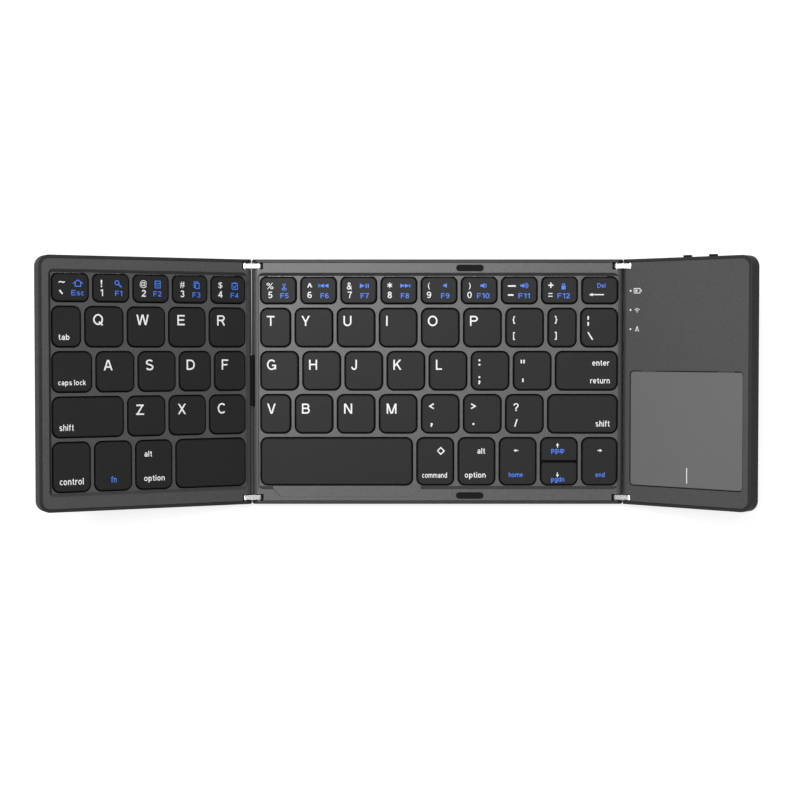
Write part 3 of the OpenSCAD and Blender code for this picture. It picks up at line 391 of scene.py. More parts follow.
# Height of small letters, as a share of the capitals'
X_HEIGHT = 0.73
# Straight pieces in a curve
ARC_STEPS = 14
BOW_STEPS = 24
DISC_STEPS = 24
# A corner is mitred no further than one whose half turn has this cosine
MITRE_LIMIT = 0.4


def arc(x, y, rx, ry, start, end, steps=ARC_STEPS):
    """Points along a part of an ellipse, between two angles in degrees."""
    turn = [math.radians(start + (end - start) * i / steps) for i in range(steps + 1)]
    return [(x + rx * math.cos(a), y + ry * math.sin(a)) for a in turn]


def ribbon(points, width, reach=0.0):
    """Line of even width through points, with mitred joints, and square ends that reach beyond them."""
    half = width / 2
    left, right = [], []
    points = [Vector(p) for p in points]
    for i, p in enumerate(points):
        before = (p - points[i - 1]).normalized() if i else (points[1] - p).normalized()
        after = (points[i + 1] - p).normalized() if i + 1 < len(points) else before
        along = (before + after).normalized()
        side = Vector((-along.y, along.x)) * half / max(MITRE_LIMIT, along.dot(before))
        if i == 0:
            p = p - before * reach
        elif i + 1 == len(points):
            p = p + before * reach
        left.append(tuple(p + side))
        right.append(tuple(p - side))
    count = len(left)
    return left + right, [[i, i + 1, count + i + 1, count + i] for i in range(count - 1)]


def alphabet(w):
    """Strokes of each sign, w wide, for capitals that are one unit high; s is half a stroke."""
    s = w / 2
    crossbar = 0.8 * w

    def bar(x0, y0, x1, y1):
        return [(x0, y0), (x1, y0), (x1, y1), (x0, y1)], [[0, 1, 2, 3]]

    def slant(x0, y0, x1, y1):
        """Straight stroke with level ends, between the middles of its ends."""
        half = s * math.hypot(x1 - x0, y1 - y0) / abs(y1 - y0)
        return [(x0 - half, y0), (x0 + half, y0), (x1 + half, y1), (x1 - half, y1)], [[0, 1, 2, 3]]

    def path(*parts):
        return ribbon([p for part in parts for p in part], w)

    def bow(x, y, rx, ry, start=0, end=360):
        """Curved stroke inside an ellipse."""
        return path(arc(x, y, rx - s, ry - s, start, end, BOW_STEPS))

    stem = bar(0, 0, w, 1)
    low_stem = bar(0, 0, w, X_HEIGHT)
    bowl = bow(0.32, 0.365, 0.3, 0.375)
    arch = [low_stem, bow(0.29, 0.44, 0.29, 0.3, 0, 180), bar(0.58 - w, 0, 0.58, 0.45)]
    next_arch = 0.81 - w
    return {
        "A": [slant(0.09, 0, 0.42, 1), slant(0.81, 0, 0.48, 1), bar(0.2, 0.25, 0.7, 0.25 + 0.85 * w)],
        "B": [stem, bar(0, 1 - w, 0.44, 1), bar(0, 0.46, 0.46, 0.46 + w), bar(0, 0, 0.46, w),
              bow(0.44, 0.73, 0.29, 0.27, -90, 90), bow(0.46, 0.305, 0.31, 0.305, -90, 90)],
        "C": [bow(0.445, 0.5, 0.445, 0.52, 42, 318)],
        "D": [stem, bar(0, 1 - w, 0.36, 1), bar(0, 0, 0.36, w), bow(0.36, 0.5, 0.48, 0.5, -90, 90)],
        "E": [stem, bar(0, 1 - w, 0.74, 1), bar(0, 0.44, 0.69, 0.44 + w), bar(0, 0, 0.76, w)],
        "F": [stem, bar(0, 1 - w, 0.68, 1), bar(0, 0.41, 0.6, 0.41 + w)],
        "G": [bow(0.46, 0.5, 0.46, 0.52, 42, 325), bar(0.5, 0.36, 0.91, 0.36 + w),
              bar(0.91 - w, 0.04, 0.91, 0.4)],
        "H": [stem, bar(0.79 - w, 0, 0.79, 1), bar(0, 0.45, 0.79, 0.45 + w)],
        "I": [stem],
        "J": [bar(0.56 - w, 0.3, 0.56, 1), bow(0.28, 0.3, 0.28, 0.32, 180, 360)],
        "K": [stem, slant(0.06, 0.3, 0.68, 1), slant(0.34, 0.58, 0.71, 0)],
        "L": [stem, bar(0, 0, 0.6, w)],
        "M": [stem, bar(0.97 - w, 0, 0.97, 1), slant(0.1, 1, 0.46, 0), slant(0.87, 1, 0.51, 0)],
        "N": [stem, bar(0.8 - w, 0, 0.8, 1), slant(0.1, 1, 0.7, 0)],
        "O": [bow(0.48, 0.5, 0.48, 0.52)],
        "P": [stem, bar(0, 1 - w, 0.45, 1), bar(0, 0.42, 0.45, 0.42 + w),
              bow(0.45, 0.71, 0.32, 0.29, -90, 90)],
        "Q": [bow(0.48, 0.5, 0.48, 0.52), path([(0.56, 0.3), (0.93, -0.04)])],
        "R": [stem, bar(0, 1 - w, 0.48, 1), bar(0, 0.43, 0.48, 0.43 + w),
              bow(0.48, 0.715, 0.31, 0.285, -90, 90), slant(0.5, 0.46, 0.74, 0)],
        "S": [path(arc(0.4, 0.745, 0.37 - s, 0.275 - s, 25, 235),
                   arc(0.4, 0.27, 0.395 - s, 0.29 - s, 55, -160))],
        "T": [bar(0, 1 - w, 0.77, 1), bar(0.385 - s, 0, 0.385 + s, 1)],
        "U": [bar(0, 0.35, w, 1), bar(0.79 - w, 0.35, 0.79, 1), bow(0.395, 0.37, 0.395, 0.39, 180, 360)],
        "V": [slant(0.09, 1, 0.42, 0), slant(0.78, 1, 0.45, 0)],
        "W": [slant(0.09, 1, 0.33, 0), slant(0.61, 1, 0.35, 0), slant(0.66, 1, 0.92, 0),
              slant(1.18, 1, 0.94, 0)],
        "X": [slant(0.1, 1, 0.74, 0), slant(0.73, 1, 0.09, 0)],
        "Y": [slant(0.09, 1, 0.41, 0.4), slant(0.76, 1, 0.44, 0.4), bar(0.425 - s, 0, 0.425 + s, 0.45)],
        "Z": [bar(0.02, 1 - w, 0.76, 1), bar(0, 0, 0.78, w), slant(0.65, 0.93, 0.13, 0.07)],
        "0": [bow(0.335, 0.5, 0.335, 0.5)],
        "1": [bar(0.26, 0, 0.26 + w, 1), path([(0.06, 0.76), (0.3, 0.94)])],
        "2": [path(arc(0.33, 0.7, 0.33 - s, 0.3 - s, 165, -35), [(0.1, 0.1)]), bar(0, 0, 0.66, w)],
        "3": [path(arc(0.32, 0.755, 0.31 - s, 0.245 - s, 155, -80)),
              path(arc(0.33, 0.285, 0.33 - s, 0.285 - s, 85, -155))],
        "4": [bar(0.44, 0, 0.44 + w, 1), bar(0, 0.22, 0.7, 0.22 + w), path([(0.09, 0.3), (0.5, 0.93)])],
        "5": [bar(0.12, 1 - w, 0.62, 1), path([(0.18, 0.95), (0.12, 0.5)]),
              path(arc(0.32, 0.32, 0.34 - s, 0.32 - s, 150, -150))],
        "6": [bow(0.335, 0.31, 0.335, 0.31), path(arc(0.36, 0.5, 0.36 - s, 0.5 - s, 50, 190))],
        "7": [bar(0, 1 - w, 0.66, 1), path([(0.57, 0.9), (0.36, 0.5), (0.27, 0)])],
        "8": [bow(0.335, 0.74, 0.29, 0.26), bow(0.335, 0.285, 0.335, 0.285)],
        "9": [bow(0.335, 0.69, 0.335, 0.31), path(arc(0.31, 0.5, 0.36 - s, 0.5 - s, 230, 370))],
        "a": [bow(0.27, 0.215, 0.27, 0.225), bar(0.56 - w, 0, 0.56, 0.48),
              path(arc(0.3, 0.48, 0.26 - s, 0.26 - s, 165, 0))],
        "b": [stem, bowl],
        "c": [bow(0.29, 0.365, 0.29, 0.375, 48, 312)],
        "d": [bar(0.6 - w, 0, 0.6, 1), bow(0.3, 0.365, 0.3, 0.375)],
        "e": [bow(0.31, 0.365, 0.31, 0.375, 0, 318), bar(0.06, 0.31, 0.58, 0.31 + crossbar)],
        "f": [bar(0.1, 0, 0.1 + w, 0.8), bow(0.36, 0.76, 0.26, 0.25, 90, 180),
              bar(0, X_HEIGHT - crossbar, 0.38, X_HEIGHT)],
        "g": [bow(0.3, 0.365, 0.3, 0.375), bar(0.6 - w, -0.05, 0.6, X_HEIGHT),
              bow(0.31, -0.06, 0.29, 0.22, 190, 360)],
        "h": [stem, *arch],
        "i": [low_stem, bar(0, 0.84, w, 1)],
        "k": [stem, slant(0.08, 0.2, 0.45, X_HEIGHT), slant(0.22, 0.42, 0.47, 0)],
        "l": [stem],
        "m": [low_stem, bow(0.27, 0.45, 0.27, 0.29, 0, 180), bar(0.54 - w, 0, 0.54, 0.46),
              bow(next_arch, 0.45, 0.27, 0.29, 0, 180),
              bar(next_arch + 0.27 - w, 0, next_arch + 0.27, 0.46)],
        "n": arch,
        "o": [bow(0.32, 0.365, 0.32, 0.375)],
        "p": [bar(0, -0.27, w, X_HEIGHT), bowl],
        "r": [low_stem, bow(0.37, 0.4, 0.37, 0.34, 88, 180)],
        "s": [path(arc(0.28, 0.535, 0.26 - s, 0.205 - s, 25, 235),
                   arc(0.28, 0.195, 0.29 - s, 0.205 - s, 55, -160))],
        "t": [bar(0.1, 0.15, 0.1 + w, 0.92), bar(0, X_HEIGHT - crossbar, 0.34, X_HEIGHT),
              bow(0.35, 0.2, 0.25, 0.21, 180, 275)],
        "u": [bar(0, 0.28, w, X_HEIGHT), bow(0.29, 0.29, 0.29, 0.3, 180, 360),
              bar(0.58 - w, 0, 0.58, X_HEIGHT)],
        " ": [([(0.1, 0), (0.1, 0)], [])],
    }


# Alphabets by the width of their strokes, as a share of the capitals' height
CAPITALS = alphabet(0.145)
WORDS = alphabet(0.15)
FINE = alphabet(0.14)
LETTER_GAP = 0.15

# Other signs come from the built-in font
SIGN_STEPS = 6
FONT_CURVE = bpy.data.curves.new("sign", "FONT")
FONT_HOLDER = bpy.data.objects.new("sign", FONT_CURVE)


def drawn_sign(sign, weight):
    """Flat mesh of a sign of the built-in font."""
    FONT_CURVE.body = sign
    FONT_CURVE.offset = weight
    FONT_CURVE.resolution_u = SIGN_STEPS
    mesh = bpy.data.meshes.new_from_object(FONT_HOLDER)
    points = [tuple(v.co[:2]) for v in mesh.vertices]
    faces = [list(p.vertices) for p in mesh.polygons]
    bpy.data.meshes.remove(mesh)
    return points, faces


# ---------- Ink: printed legends ----------

# Height of the first stroke above the face, and the steps that keep crossing strokes apart
INK_MM = 0.02
LAYER_MM = 0.002
LAYERS = 7
LAYER_DRIFT = LAYER_MM / 10
# How far a line reaches beyond its points, as a share of its width
LINE_REACH = 0.3
# Share of a word's width that lies to the left of its place
ALIGNMENT = {"left": 0, "centre": 0.5, "right": 1}
WHITE = (0.9, 0.9, 0.9)
BLUE = (0.06, 0.22, 0.95)


class Ink:
    """Legends of one colour on one body, drawn on its panel's face in millimetres."""

    def __init__(self, panel, level):
        self.panel, self.level, self.layer = panel, level, INK_MM
        self.points, self.faces = [], []

    def add(self, flat, faces):
        start = len(self.points)
        height = self.level + (self.layer + LAYER_MM * (len(self.faces) % LAYERS)) * MM
        self.points += [(x * MM, y * MM, height) for x, y in flat]
        self.faces += [[start + i for i in face] for face in faces]
        self.layer += LAYER_DRIFT

    def text(self, words, x, y, height, align="left", width=None, hand=WORDS):
        """Words on the baseline y, with capitals of this height, and squeezed to a width if given."""
        strokes, at = [], 0.0
        for sign in words:
            strokes += [([(at + px, py) for px, py in points], faces) for points, faces in hand[sign]]
            at += max(px for points, _ in hand[sign] for px, _ in points) + LETTER_GAP
        natural = (at - LETTER_GAP) * height
        width = width or natural
        start = x - ALIGNMENT[align] * width
        squeeze = width / natural * height
        for points, faces in strokes:
            self.add([(start + px * squeeze, y + py * height) for px, py in points], faces)

    def sign(self, sign, box, weight):
        """A sign of the built-in font, fitted into [left, right, bottom, top]."""
        points, faces = drawn_sign(sign, weight)
        flat = np.array(points)
        low, high = flat.min(axis=0), flat.max(axis=0)
        left, right, bottom, top = box
        size = np.array([right - left, top - bottom]) / (high - low)
        self.add([tuple(p) for p in (flat - low) * size + [left, bottom]], faces)

    def fit(self, start, box):
        """Fits all that was drawn since a start into [left, right, bottom, top]."""
        drawn = np.array(self.points[start:])
        low, high = drawn[:, :2].min(axis=0), drawn[:, :2].max(axis=0)
        left, right, bottom, top = np.array(box) * MM
        size = np.array([right - left, top - bottom]) / (high - low)
        drawn[:, :2] = (drawn[:, :2] - low) * size + [left, bottom]
        self.points[start:] = [tuple(p) for p in drawn]

    def shape(self, outline):
        self.add(outline, [list(range(len(outline)))])

    def disc(self, x, y, radius):
        self.shape(arc(x, y, radius, radius, 0, 360 * (1 - 1 / DISC_STEPS), DISC_STEPS - 1))

    def stroke(self, points, width):
        """Line through points whose ends reach a little further."""
        self.add(*ribbon(points, width, width * LINE_REACH))

    def ring(self, x, y, radius, width, start=0, end=360, steps=20):
        self.stroke(arc(x, y, radius, radius, start, end, steps), width)

    def build(self, name, material, body, slot):
        if not self.points:
            return
        turn = PANELS[self.panel]
        mesh = bpy.data.meshes.new(name)
        mesh.from_pydata([turn @ Vector(p) for p in self.points], [], self.faces)
        mesh.materials.append(material)
        piece = show(name, mesh)
        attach(piece, body)


# Icons, each drawn freely and then fitted into its place
ICON_LINE = 0.3
ICON_BOLD = 0.36


def outline(ink, left, right, bottom, top, width=ICON_LINE):
    ink.stroke([(left, bottom), (left, top), (right, top), (right, bottom), (left, bottom)], width)


def icon_home(ink):
    ink.stroke([(-2, -0.1), (0, 1.4), (2, -0.1)], ICON_BOLD)
    ink.stroke([(-1.2, 0.2), (-1.2, -1.3), (1.2, -1.3), (1.2, 0.2)], ICON_BOLD)


def icon_search(ink):
    ink.ring(-0.45, 0.45, 0.85, ICON_BOLD)
    ink.stroke([(0.2, -0.2), (1.4, -1.35)], 0.5)


def icon_page(ink):
    outline(ink, -1.05, 1.05, -1.35, 1.35)
    ink.stroke([(-1, 0.35), (1, 0.35)], ICON_LINE)
    ink.stroke([(-0.5, -0.5), (0.5, -0.5)], ICON_LINE)


def icon_copy(ink):
    ink.stroke([(-0.6, -0.9), (-1.1, -0.9), (-1.1, 1.3), (0.5, 1.3), (0.5, 0.9)], ICON_LINE)
    outline(ink, -0.5, 1.1, -1.35, 0.7)


def icon_paste(ink):
    outline(ink, -1.1, 1.1, -1.35, 1.1)
    ink.stroke([(-0.4, 1.3), (0.4, 1.3)], 0.45)
    ink.stroke([(-0.5, -0.2), (-0.1, -0.7), (0.6, 0.3)], ICON_LINE)


def icon_cut(ink):
    for side in (-1, 1):
        ink.stroke([(0.6 * side, 1.4), (-0.5 * side, -0.6)], ICON_LINE)
    for side in (-1, 1):
        ink.ring(0.65 * side, -0.9, 0.42, 0.26)


def arrowhead(ink, x, y, length, half, towards):
    """Triangle whose tip is at (x, y)."""
    along = Vector(towards)
    side = Vector((-along.y, along.x))
    tip = Vector((x, y))
    back = tip - along * length
    ink.shape([tuple(tip), tuple(back + side * half), tuple(back - side * half)])


def skip(ink, side):
    """Two arrowheads that point at a bar, to the left (-1) or to the right (1)."""
    ink.stroke([(1.8 * side, -0.65), (1.8 * side, 0.65)], 0.35)
    arrowhead(ink, 1.6 * side, 0, 1.8, 0.9, (side, 0))
    arrowhead(ink, -0.2 * side, 0, 1.8, 0.9, (side, 0))


def icon_play(ink):
    arrowhead(ink, 0.2, 0, 1.8, 0.95, (1, 0))
    for x in (0.8, 1.6):
        ink.stroke([(x, -0.75), (x, 0.75)], ICON_BOLD)


def speaker(ink, waves=0):
    ink.shape([(-0.7, 0.45), (-0.7, -0.45), (-0.1, -0.45), (0.7, -1), (0.7, 1), (-0.1, 0.45)])
    for i in range(waves):
        ink.ring(0.5, 0, 0.85 + 0.6 * i, 0.26, -58, 58, 8)


def icon_lock(ink):
    ink.shape([(-0.8, 0.15), (-0.8, -1.2), (0.8, -1.2), (0.8, 0.15)])
    ink.ring(0, 0.35, 0.5, 0.3, 0, 180, 10)


ICONS = {
    "home": icon_home, "search": icon_search, "page": icon_page, "copy": icon_copy,
    "paste": icon_paste, "cut": icon_cut, "play": icon_play, "lock": icon_lock,
    "back": lambda ink: skip(ink, -1), "forward": lambda ink: skip(ink, 1),
    "mute": speaker, "quieter": lambda ink: speaker(ink, 1), "louder": lambda ink: speaker(ink, 2),
}

# Heights of the legends
LETTER_H = 4.05
DIGIT_H = 2.6
LABEL_H = 2.0
# How far the built-in font's outlines are swollen, and the signs that stay thin
BOLD = 0.02
THIN = 0.0
FINE_SIGNS = "@#$%&"
# Short arrow with a thin shaft: its sizes, and shares of its length from its middle
ARROW_L = 2.0
ARROW_HALF_W = 0.62
SHAFT_W = 0.32
SHAFT_START = 0.42
SHAFT_END = 0.1
ARROWHEAD_SHARE = 0.52


class Key:
    """One keycap with its two inks; places are in millimetres from its left and rear edges."""

    def __init__(self, box, white, blue):
        left, _, _, rear = box
        self.left, self.rear = left / MM, rear / MM
        self.white, self.blue = white, blue

    def at(self, x, down):
        return self.left + x, self.rear - down

    def word(self, words, x, down, height, width=None, align="left", ink=None, hand=WORDS):
        (ink or self.white).text(words, *self.at(x, down), height, align, width, hand)

    def sign(self, sign, x0, x1, top, bottom, weight=BOLD):
        left, low = self.at(x0, bottom)
        self.white.sign(sign, (left, left + x1 - x0, low, low + bottom - top), weight)

    def line(self, width, *points):
        self.white.stroke([self.at(*point) for point in points], width)

    def dot(self, x, down, radius=0.42):
        self.white.disc(*self.at(x, down), radius)

    def arrow(self, x, down, towards):
        """Short arrow about a point."""
        middle, along = Vector(self.at(x, down)), Vector(towards) * ARROW_L
        tip = middle + along / 2
        self.white.stroke([middle - along * SHAFT_START, middle + along * SHAFT_END], SHAFT_W)
        arrowhead(self.white, tip.x, tip.y, ARROW_L * ARROWHEAD_SHARE, ARROW_HALF_W, towards)


# Place of each icon on its key: left, right, rear and front edges
ICON_PLACES = {
    "home": (7.7, 11.75, 2.0, 4.8), "search": (8.1, 11.05, 2.1, 4.95), "page": (8.2, 10.6, 2.0, 4.95),
    "copy": (8.2, 10.6, 2.0, 4.9), "paste": (8.1, 10.65, 2.1, 4.95), "cut": (8.2, 10.2, 2.4, 5.2),
    "back": (6.85, 10.85, 2.5, 4.1), "play": (7.3, 10.85, 2.4, 4.3), "forward": (7.45, 11.4, 2.5, 4.1),
    "mute": (8.55, 9.95, 2.3, 4.1), "quieter": (7.3, 9.85, 2.3, 4.2), "louder": (7.15, 10.4, 2.1, 4.4),
    "lock": (7.6, 9.2, 2.3, 4.75),
}
# Middle of each digit, from its key's left edge
DIGITS_AT = dict(zip("1234567890", (2.95, 3.75, 3.45, 3.25, 3.65, 3.3, 3.3, 3.2, 2.8, 2.95)))

# Width and height of each sign that shares a number key with a digit, and its middle's place
SIGNS = {
    "!": (0.65, 2.9, 2.9), "@": (2.7, 3.0, 3.55), "#": (1.9, 2.55, 3.45), "$": (1.75, 2.6, 3.3),
    "%": (2.75, 2.5, 3.55), "^": (2.0, 1.75, 3.35), "&": (2.0, 2.85, 3.15),
    "(": (0.75, 2.75, 2.8), ")": (0.75, 2.75, 3.0), "+": (2.05, 2.1, 3.3), "~": (2.4, 0.8, 3.4),
}


# Middles of the shifted signs, down from the key's rear edge, and the digits' baseline
SIGN_DOWN = 3.4
HIGH_SIGN_DOWN = 3.1
HIGH_SIGNS = "+^~"
DIGIT_DOWN = 8.25
STAR_X = 3.2
STAR_REACH = 0.95


def star(key):
    """Three crossed lines."""
    for turn in (90, 30, -30):
        angle = math.radians(turn)
        arm = Vector((math.cos(angle), math.sin(angle))) * STAR_REACH
        key.line(0.36, (STAR_X - arm.x, HIGH_SIGN_DOWN - arm.y), (STAR_X + arm.x, HIGH_SIGN_DOWN + arm.y))


def number_legend(sign, digit, icon, label, label_w=3.3, label_right=10.95, label_down=8.3):
    """Shifted sign over a digit on the left, an icon over a blue label on the right."""
    def draw(key):
        if sign == "*":
            star(key)
        elif sign in SIGNS:
            width, height, x = SIGNS[sign]
            middle = HIGH_SIGN_DOWN if sign in HIGH_SIGNS else SIGN_DOWN
            key.sign(sign, x - width / 2, x + width / 2, middle - height / 2, middle + height / 2,
                     THIN if sign in FINE_SIGNS else BOLD)
        else:
            key.line(0.6, (2.4, SIGN_DOWN), (5.2, SIGN_DOWN))
        if digit == "-":
            key.line(0.6, (2.4, 7), (4.3, 7))
        elif digit == "=":
            key.line(0.36, (2.4, 6.4), (3.9, 6.4))
            key.line(0.36, (2.4, 7.5), (3.9, 7.5))
        elif digit == "`":
            key.line(0.55, (2.6, 6.3), (3.6, 7.5))
        else:
            key.word(digit, DIGITS_AT[digit], DIGIT_DOWN, DIGIT_H, align="centre")
        key.word(label, label_right, label_down, LABEL_H, label_w, "right", key.blue, FINE)
        start = len(key.blue.points)
        ICONS[icon](key.blue)
        left, right, rear, front = ICON_PLACES[icon]
        key.blue.fit(start, (key.left + left, key.left + right, key.rear - front, key.rear - rear))
    return draw


# How far some letters stand from the left edge that the others of their row share
LETTER_SHIFT = {"I": 0.2, "V": -0.2, "W": 0.3, "E": 0.25, "X": 0.2, "M": 0.2, "L": 0.15}


def letters(row, inset, top):
    """A capital near the upper left corner of each key in a row."""
    def letter(sign):
        x = inset + LETTER_SHIFT.get(sign, 0)
        return lambda key: key.word(sign, x, top + LETTER_H, LETTER_H, hand=CAPITALS)
    return [letter(sign) for sign in row]


def pair(upper, upper_box, lower, lower_box):
    """Two signs, one over the other."""
    def draw(key):
        key.sign(upper, *upper_box)
        key.sign(lower, *lower_box)
    return draw


def word(*place):
    """A white word, given as its letters, place, height and width."""
    return lambda key: key.word(*place)


def backspace(key):
    down = 6.85
    key.line(0.42, (3.6, down), (8.4, down))
    arrowhead(key.white, *key.at(2.45, down), 1.5, 0.65, (-1, 0))
    key.word("Del", 5.85, 4.1, 1.8, 3.2, ink=key.blue, hand=FINE)


def dotted_pair(key):
    """Colon over semicolon."""
    for down in (3.25, 5.0, 10.0, 11.7):
        key.dot(2.95, down)
    key.line(0.5, (3.1, 11.9), (2.75, 12.7))


def quotes(key):
    for x in (2.85, 3.95):
        key.line(0.55, (x, 3.2), (x, 4.3))
    key.line(0.6, (3.5, 10.7), (3.5, 11.8))


def broken_bar(key):
    key.line(0.6, (2.65, 3.0), (2.65, 4.1))
    key.line(0.6, (2.65, 5.4), (2.65, 6.5))
    key.line(0.5, (2.65, 9.4), (4.35, 12.2))


def smaller_comma(key):
    key.line(0.5, (4.5, 3.45), (3.0, 4.35), (4.5, 5.25))
    key.dot(3.8, 11.5)
    key.line(0.5, (3.95, 11.7), (3.6, 12.5))


def larger_stop(key):
    key.line(0.5, (2.85, 3.45), (4.35, 4.35), (2.85, 5.25))
    key.dot(3.65, 11.5)


def question_slash(key):
    hook = [(3.85 + x, 4.1 - y) for x, y in arc(0, 0, 0.8, 0.75, 170, -50)]
    key.line(0.45, *hook, (3.85, 5.1), (3.85, 5.4))
    key.dot(3.85, 6.0, 0.32)
    key.line(0.5, (4.25, 9.7), (3.4, 12.4))


def command(key):
    """A plain diamond stands where the photograph has a maker's key symbol."""
    key.word("command", 1.8, 15.8, 2.1, 10.0)
    x, down, r = 9.3, 5.0, 1.35
    key.line(0.45, (x - r, down), (x, down - r), (x + r, down), (x, down + r), (x - r, down))


def enter(key):
    key.word("enter", 14.4, 5.4, 2.3, 6.8)
    key.word("return", 13.6, 12.5, 2.3, 7.8)


def alt_option(alt_x, alt_down, option_x, option_down):
    """Two words, each from its own place."""
    def draw(key):
        key.word("alt", alt_x, alt_down, 2.25, 3.15)
        key.word("option", option_x, option_down, 2.2, 8.4)
    return draw


def arrow_key(towards, x, words, word_x, width):
    """White arrow over a blue word."""
    def draw(key):
        key.arrow(x, 4.85, towards)
        key.word(words, word_x, 15.5, 1.9, width, ink=key.blue, hand=FINE)
    return draw


def small_arrow_key(towards, words, arrow_down, word_down):
    """White arrow over a blue word, on a key of half the depth."""
    def draw(key):
        key.arrow(6.5, arrow_down, towards)
        key.word(words, 3.95, word_down, 1.95, 5.25, ink=key.blue, hand=FINE)
    return draw


LEGENDS = {
    "left": {
        "escape_key": [number_legend("~", "`", "home", "Esc", 4.9, 12, 8.1)],
        "number_keys_left": [
            number_legend("!", "1", "search", "F1", 2.8, 11.1, 8.1),
            number_legend("@", "2", "page", "F2", label_down=8.1),
            number_legend("#", "3", "copy", "F3"), number_legend("$", "4", "paste", "F4"),
        ],
        "tab_key": [word("tab", 2.0, 12.5, 2.2, 4.3)],
        "upper_letter_keys_left": letters("QWER", 2.7, 2.65),
        "caps_lock_key": [word("caps lock", 1.8, 12.45, 1.95, 10.8)],
        "home_letter_keys_left": letters("ASDF", 2.4, 2.85),
        "left_shift_key": [word("shift", 2.15, 12.55, 2.45, 5.6)],
        "lower_letter_keys_left": letters("ZXC", 2.8, 2.95),
        "control_key": [word("control", 2.2, 15.95, 2.55, 9.3)],
        "function_key": [lambda key: key.word("fn", 5.95, 15.65, 2.5, 2.2, ink=key.blue)],
        "left_option_key": [alt_option(2.9, 6.0, 2.75, 15.5)],
    },
    "centre": {
        "number_keys_centre": [
            number_legend("%", "5", "cut", "F5"), number_legend("^", "6", "back", "F6"),
            number_legend("&", "7", "play", "F7"), number_legend("*", "8", "forward", "F8"),
            number_legend("(", "9", "mute", "F9"), number_legend(")", "0", "quieter", "F10", 5.0),
            number_legend("-", "-", "louder", "F11", 4.5), number_legend("+", "=", "lock", "F12", 5.0),
        ],
        "delete_key": [backspace],
        "upper_letter_keys_centre": letters("TYUIOP", 2.25, 2.75) + [
            pair("{", (2.35, 3.4, 2.85, 5.95), "[", (2.6, 3.4, 9.3, 12.4)),
            pair("}", (2.4, 3.45, 2.8, 5.9), "]", (2.4, 3.2, 9.15, 12.3)), broken_bar,
        ],
        "home_letter_keys_centre": letters("GHJKL", 2.25, 3.0) + [dotted_pair, quotes],
        "enter_key": [enter],
        "lower_letter_keys_centre": letters("VBNM", 2.45, 3.3) + [
            smaller_comma, larger_stop, question_slash,
        ],
        "right_shift_key": [word("shift", 18.9, 12.55, 2.45, 5.6)],
        "command_key": [command],
        "right_option_key": [alt_option(7.4, 6.1, 2.35, 15.75)],
        "arrow_left_key": [arrow_key((-1, 0), 6.4, "home", 3.45, 5.7)],
        "arrow_right_key": [arrow_key((1, 0), 6.9, "end", 5.2, 3.7)],
        "arrow_up_key": [small_arrow_key((0, 1), "pgup", 2.8, 5.65)],
        "arrow_down_key": [small_arrow_key((0, -1), "pgdn", 5.0, 7.75)],
    },
}
PLAIN_KEY = {"left": "left_space_bar", "centre": "space_bar"}


def print_legends(white, blue):
    for panel, keys in LEGENDS.items():
        face = on_panel(PLAIN_KEY[panel], panel)[:, 2].max()
        for node, legends in keys.items():
            inks = Ink(panel, face), Ink(panel, face)
            for box, draw in zip(key_boxes(node, panel), legends, strict=True):
                draw(Key(box, *inks))
            inks[0].build("legend_white_" + node, white, node, "key_plastic")
            inks[1].build("legend_blue_" + node, blue, node, "key_plastic")


# ---------- Rubber domes, parted by key so that they can collapse under them ---

# Corners closer together than this are one corner
WELD = 0.001 * MM
# A face whose middle is further than this above the sheet belongs to a dome
DOME_START = 0.01 * MM


def build_rubber(name, points, faces, material, body):
    """Closed piece made of some of a rubber sheet's faces."""
    mesh = bpy.data.meshes.new(name)
    mesh.from_pydata(points, [], faces)
    shape = bmesh.new()
    shape.from_mesh(mesh)
    bmesh.ops.delete(shape, geom=[v for v in shape.verts if not v.link_faces], context="VERTS")
    bmesh.ops.remove_doubles(shape, verts=shape.verts, dist=WELD)
    bmesh.ops.holes_fill(shape, edges=[edge for edge in shape.edges if edge.is_boundary], sides=0)
    bmesh.ops.recalc_face_normals(shape, faces=shape.faces)
    shape.to_mesh(mesh)
    shape.free()
    mesh.materials.append(material)
    piece = show(name, mesh)
    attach(piece, body)
    return piece


def body_of(node):
    """Name of the body that a CAD node rides on."""
    bodies = frame["record"]["behaviour"]["bodies"]
    return next(name for name, nodes in bodies.items() if node in nodes)


def keys_pressed_into(body):
    """Nodes of the keys that a panel carries."""
    presses = [joint for joint in frame["joints"] if joint["name"].endswith("_press")]
    return [joint["child"] for joint in presses if joint["parent"] == body]


def key_over(x, y, places):
    """The key node whose keycap covers a point."""
    for key, (left, right, front, rear) in places:
        if left < x < right and front < y < rear:
            return key
    raise ValueError("no key over a dome")


def part_dome_sheet(node, panel):
    """Stands a flat sheet and each key node's own domes in for a rubber sheet, so the domes can flatten."""
    sheet = frame["nodes"][node].data
    material = sheet.materials[0]
    points = on_panel(node, panel)
    sheet_top = np.unique(np.round(points[:, 2], 6))[1]
    body = body_of(node)
    places = [(key, box) for key in keys_pressed_into(body) for box in key_boxes(key, panel)]
    flat, domes = [], {}
    for polygon in sheet.polygons:
        corners = list(polygon.vertices)
        x, y, z = points[corners].mean(axis=0)
        if z > sheet_top + DOME_START:
            domes.setdefault(key_over(x, y, places), []).append(corners)
        else:
            flat.append(corners)
    vertices = [v.co[:] for v in sheet.vertices]
    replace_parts(build_rubber(node + "_flat", vertices, flat, material, body), node)
    for key, faces in domes.items():
        piece = build_rubber("domes_" + key, vertices, faces, material, body)
        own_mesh(piece)
        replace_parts(piece, node)


# ---------- Marks on the right wing ----------

# Marks beside the lights: their height, and places to the right of the lights
MARK_H = 2.1
BATTERY_X = (1.2, 4.8)
MARK_X = 2.8
WAVE_LINE = 0.25
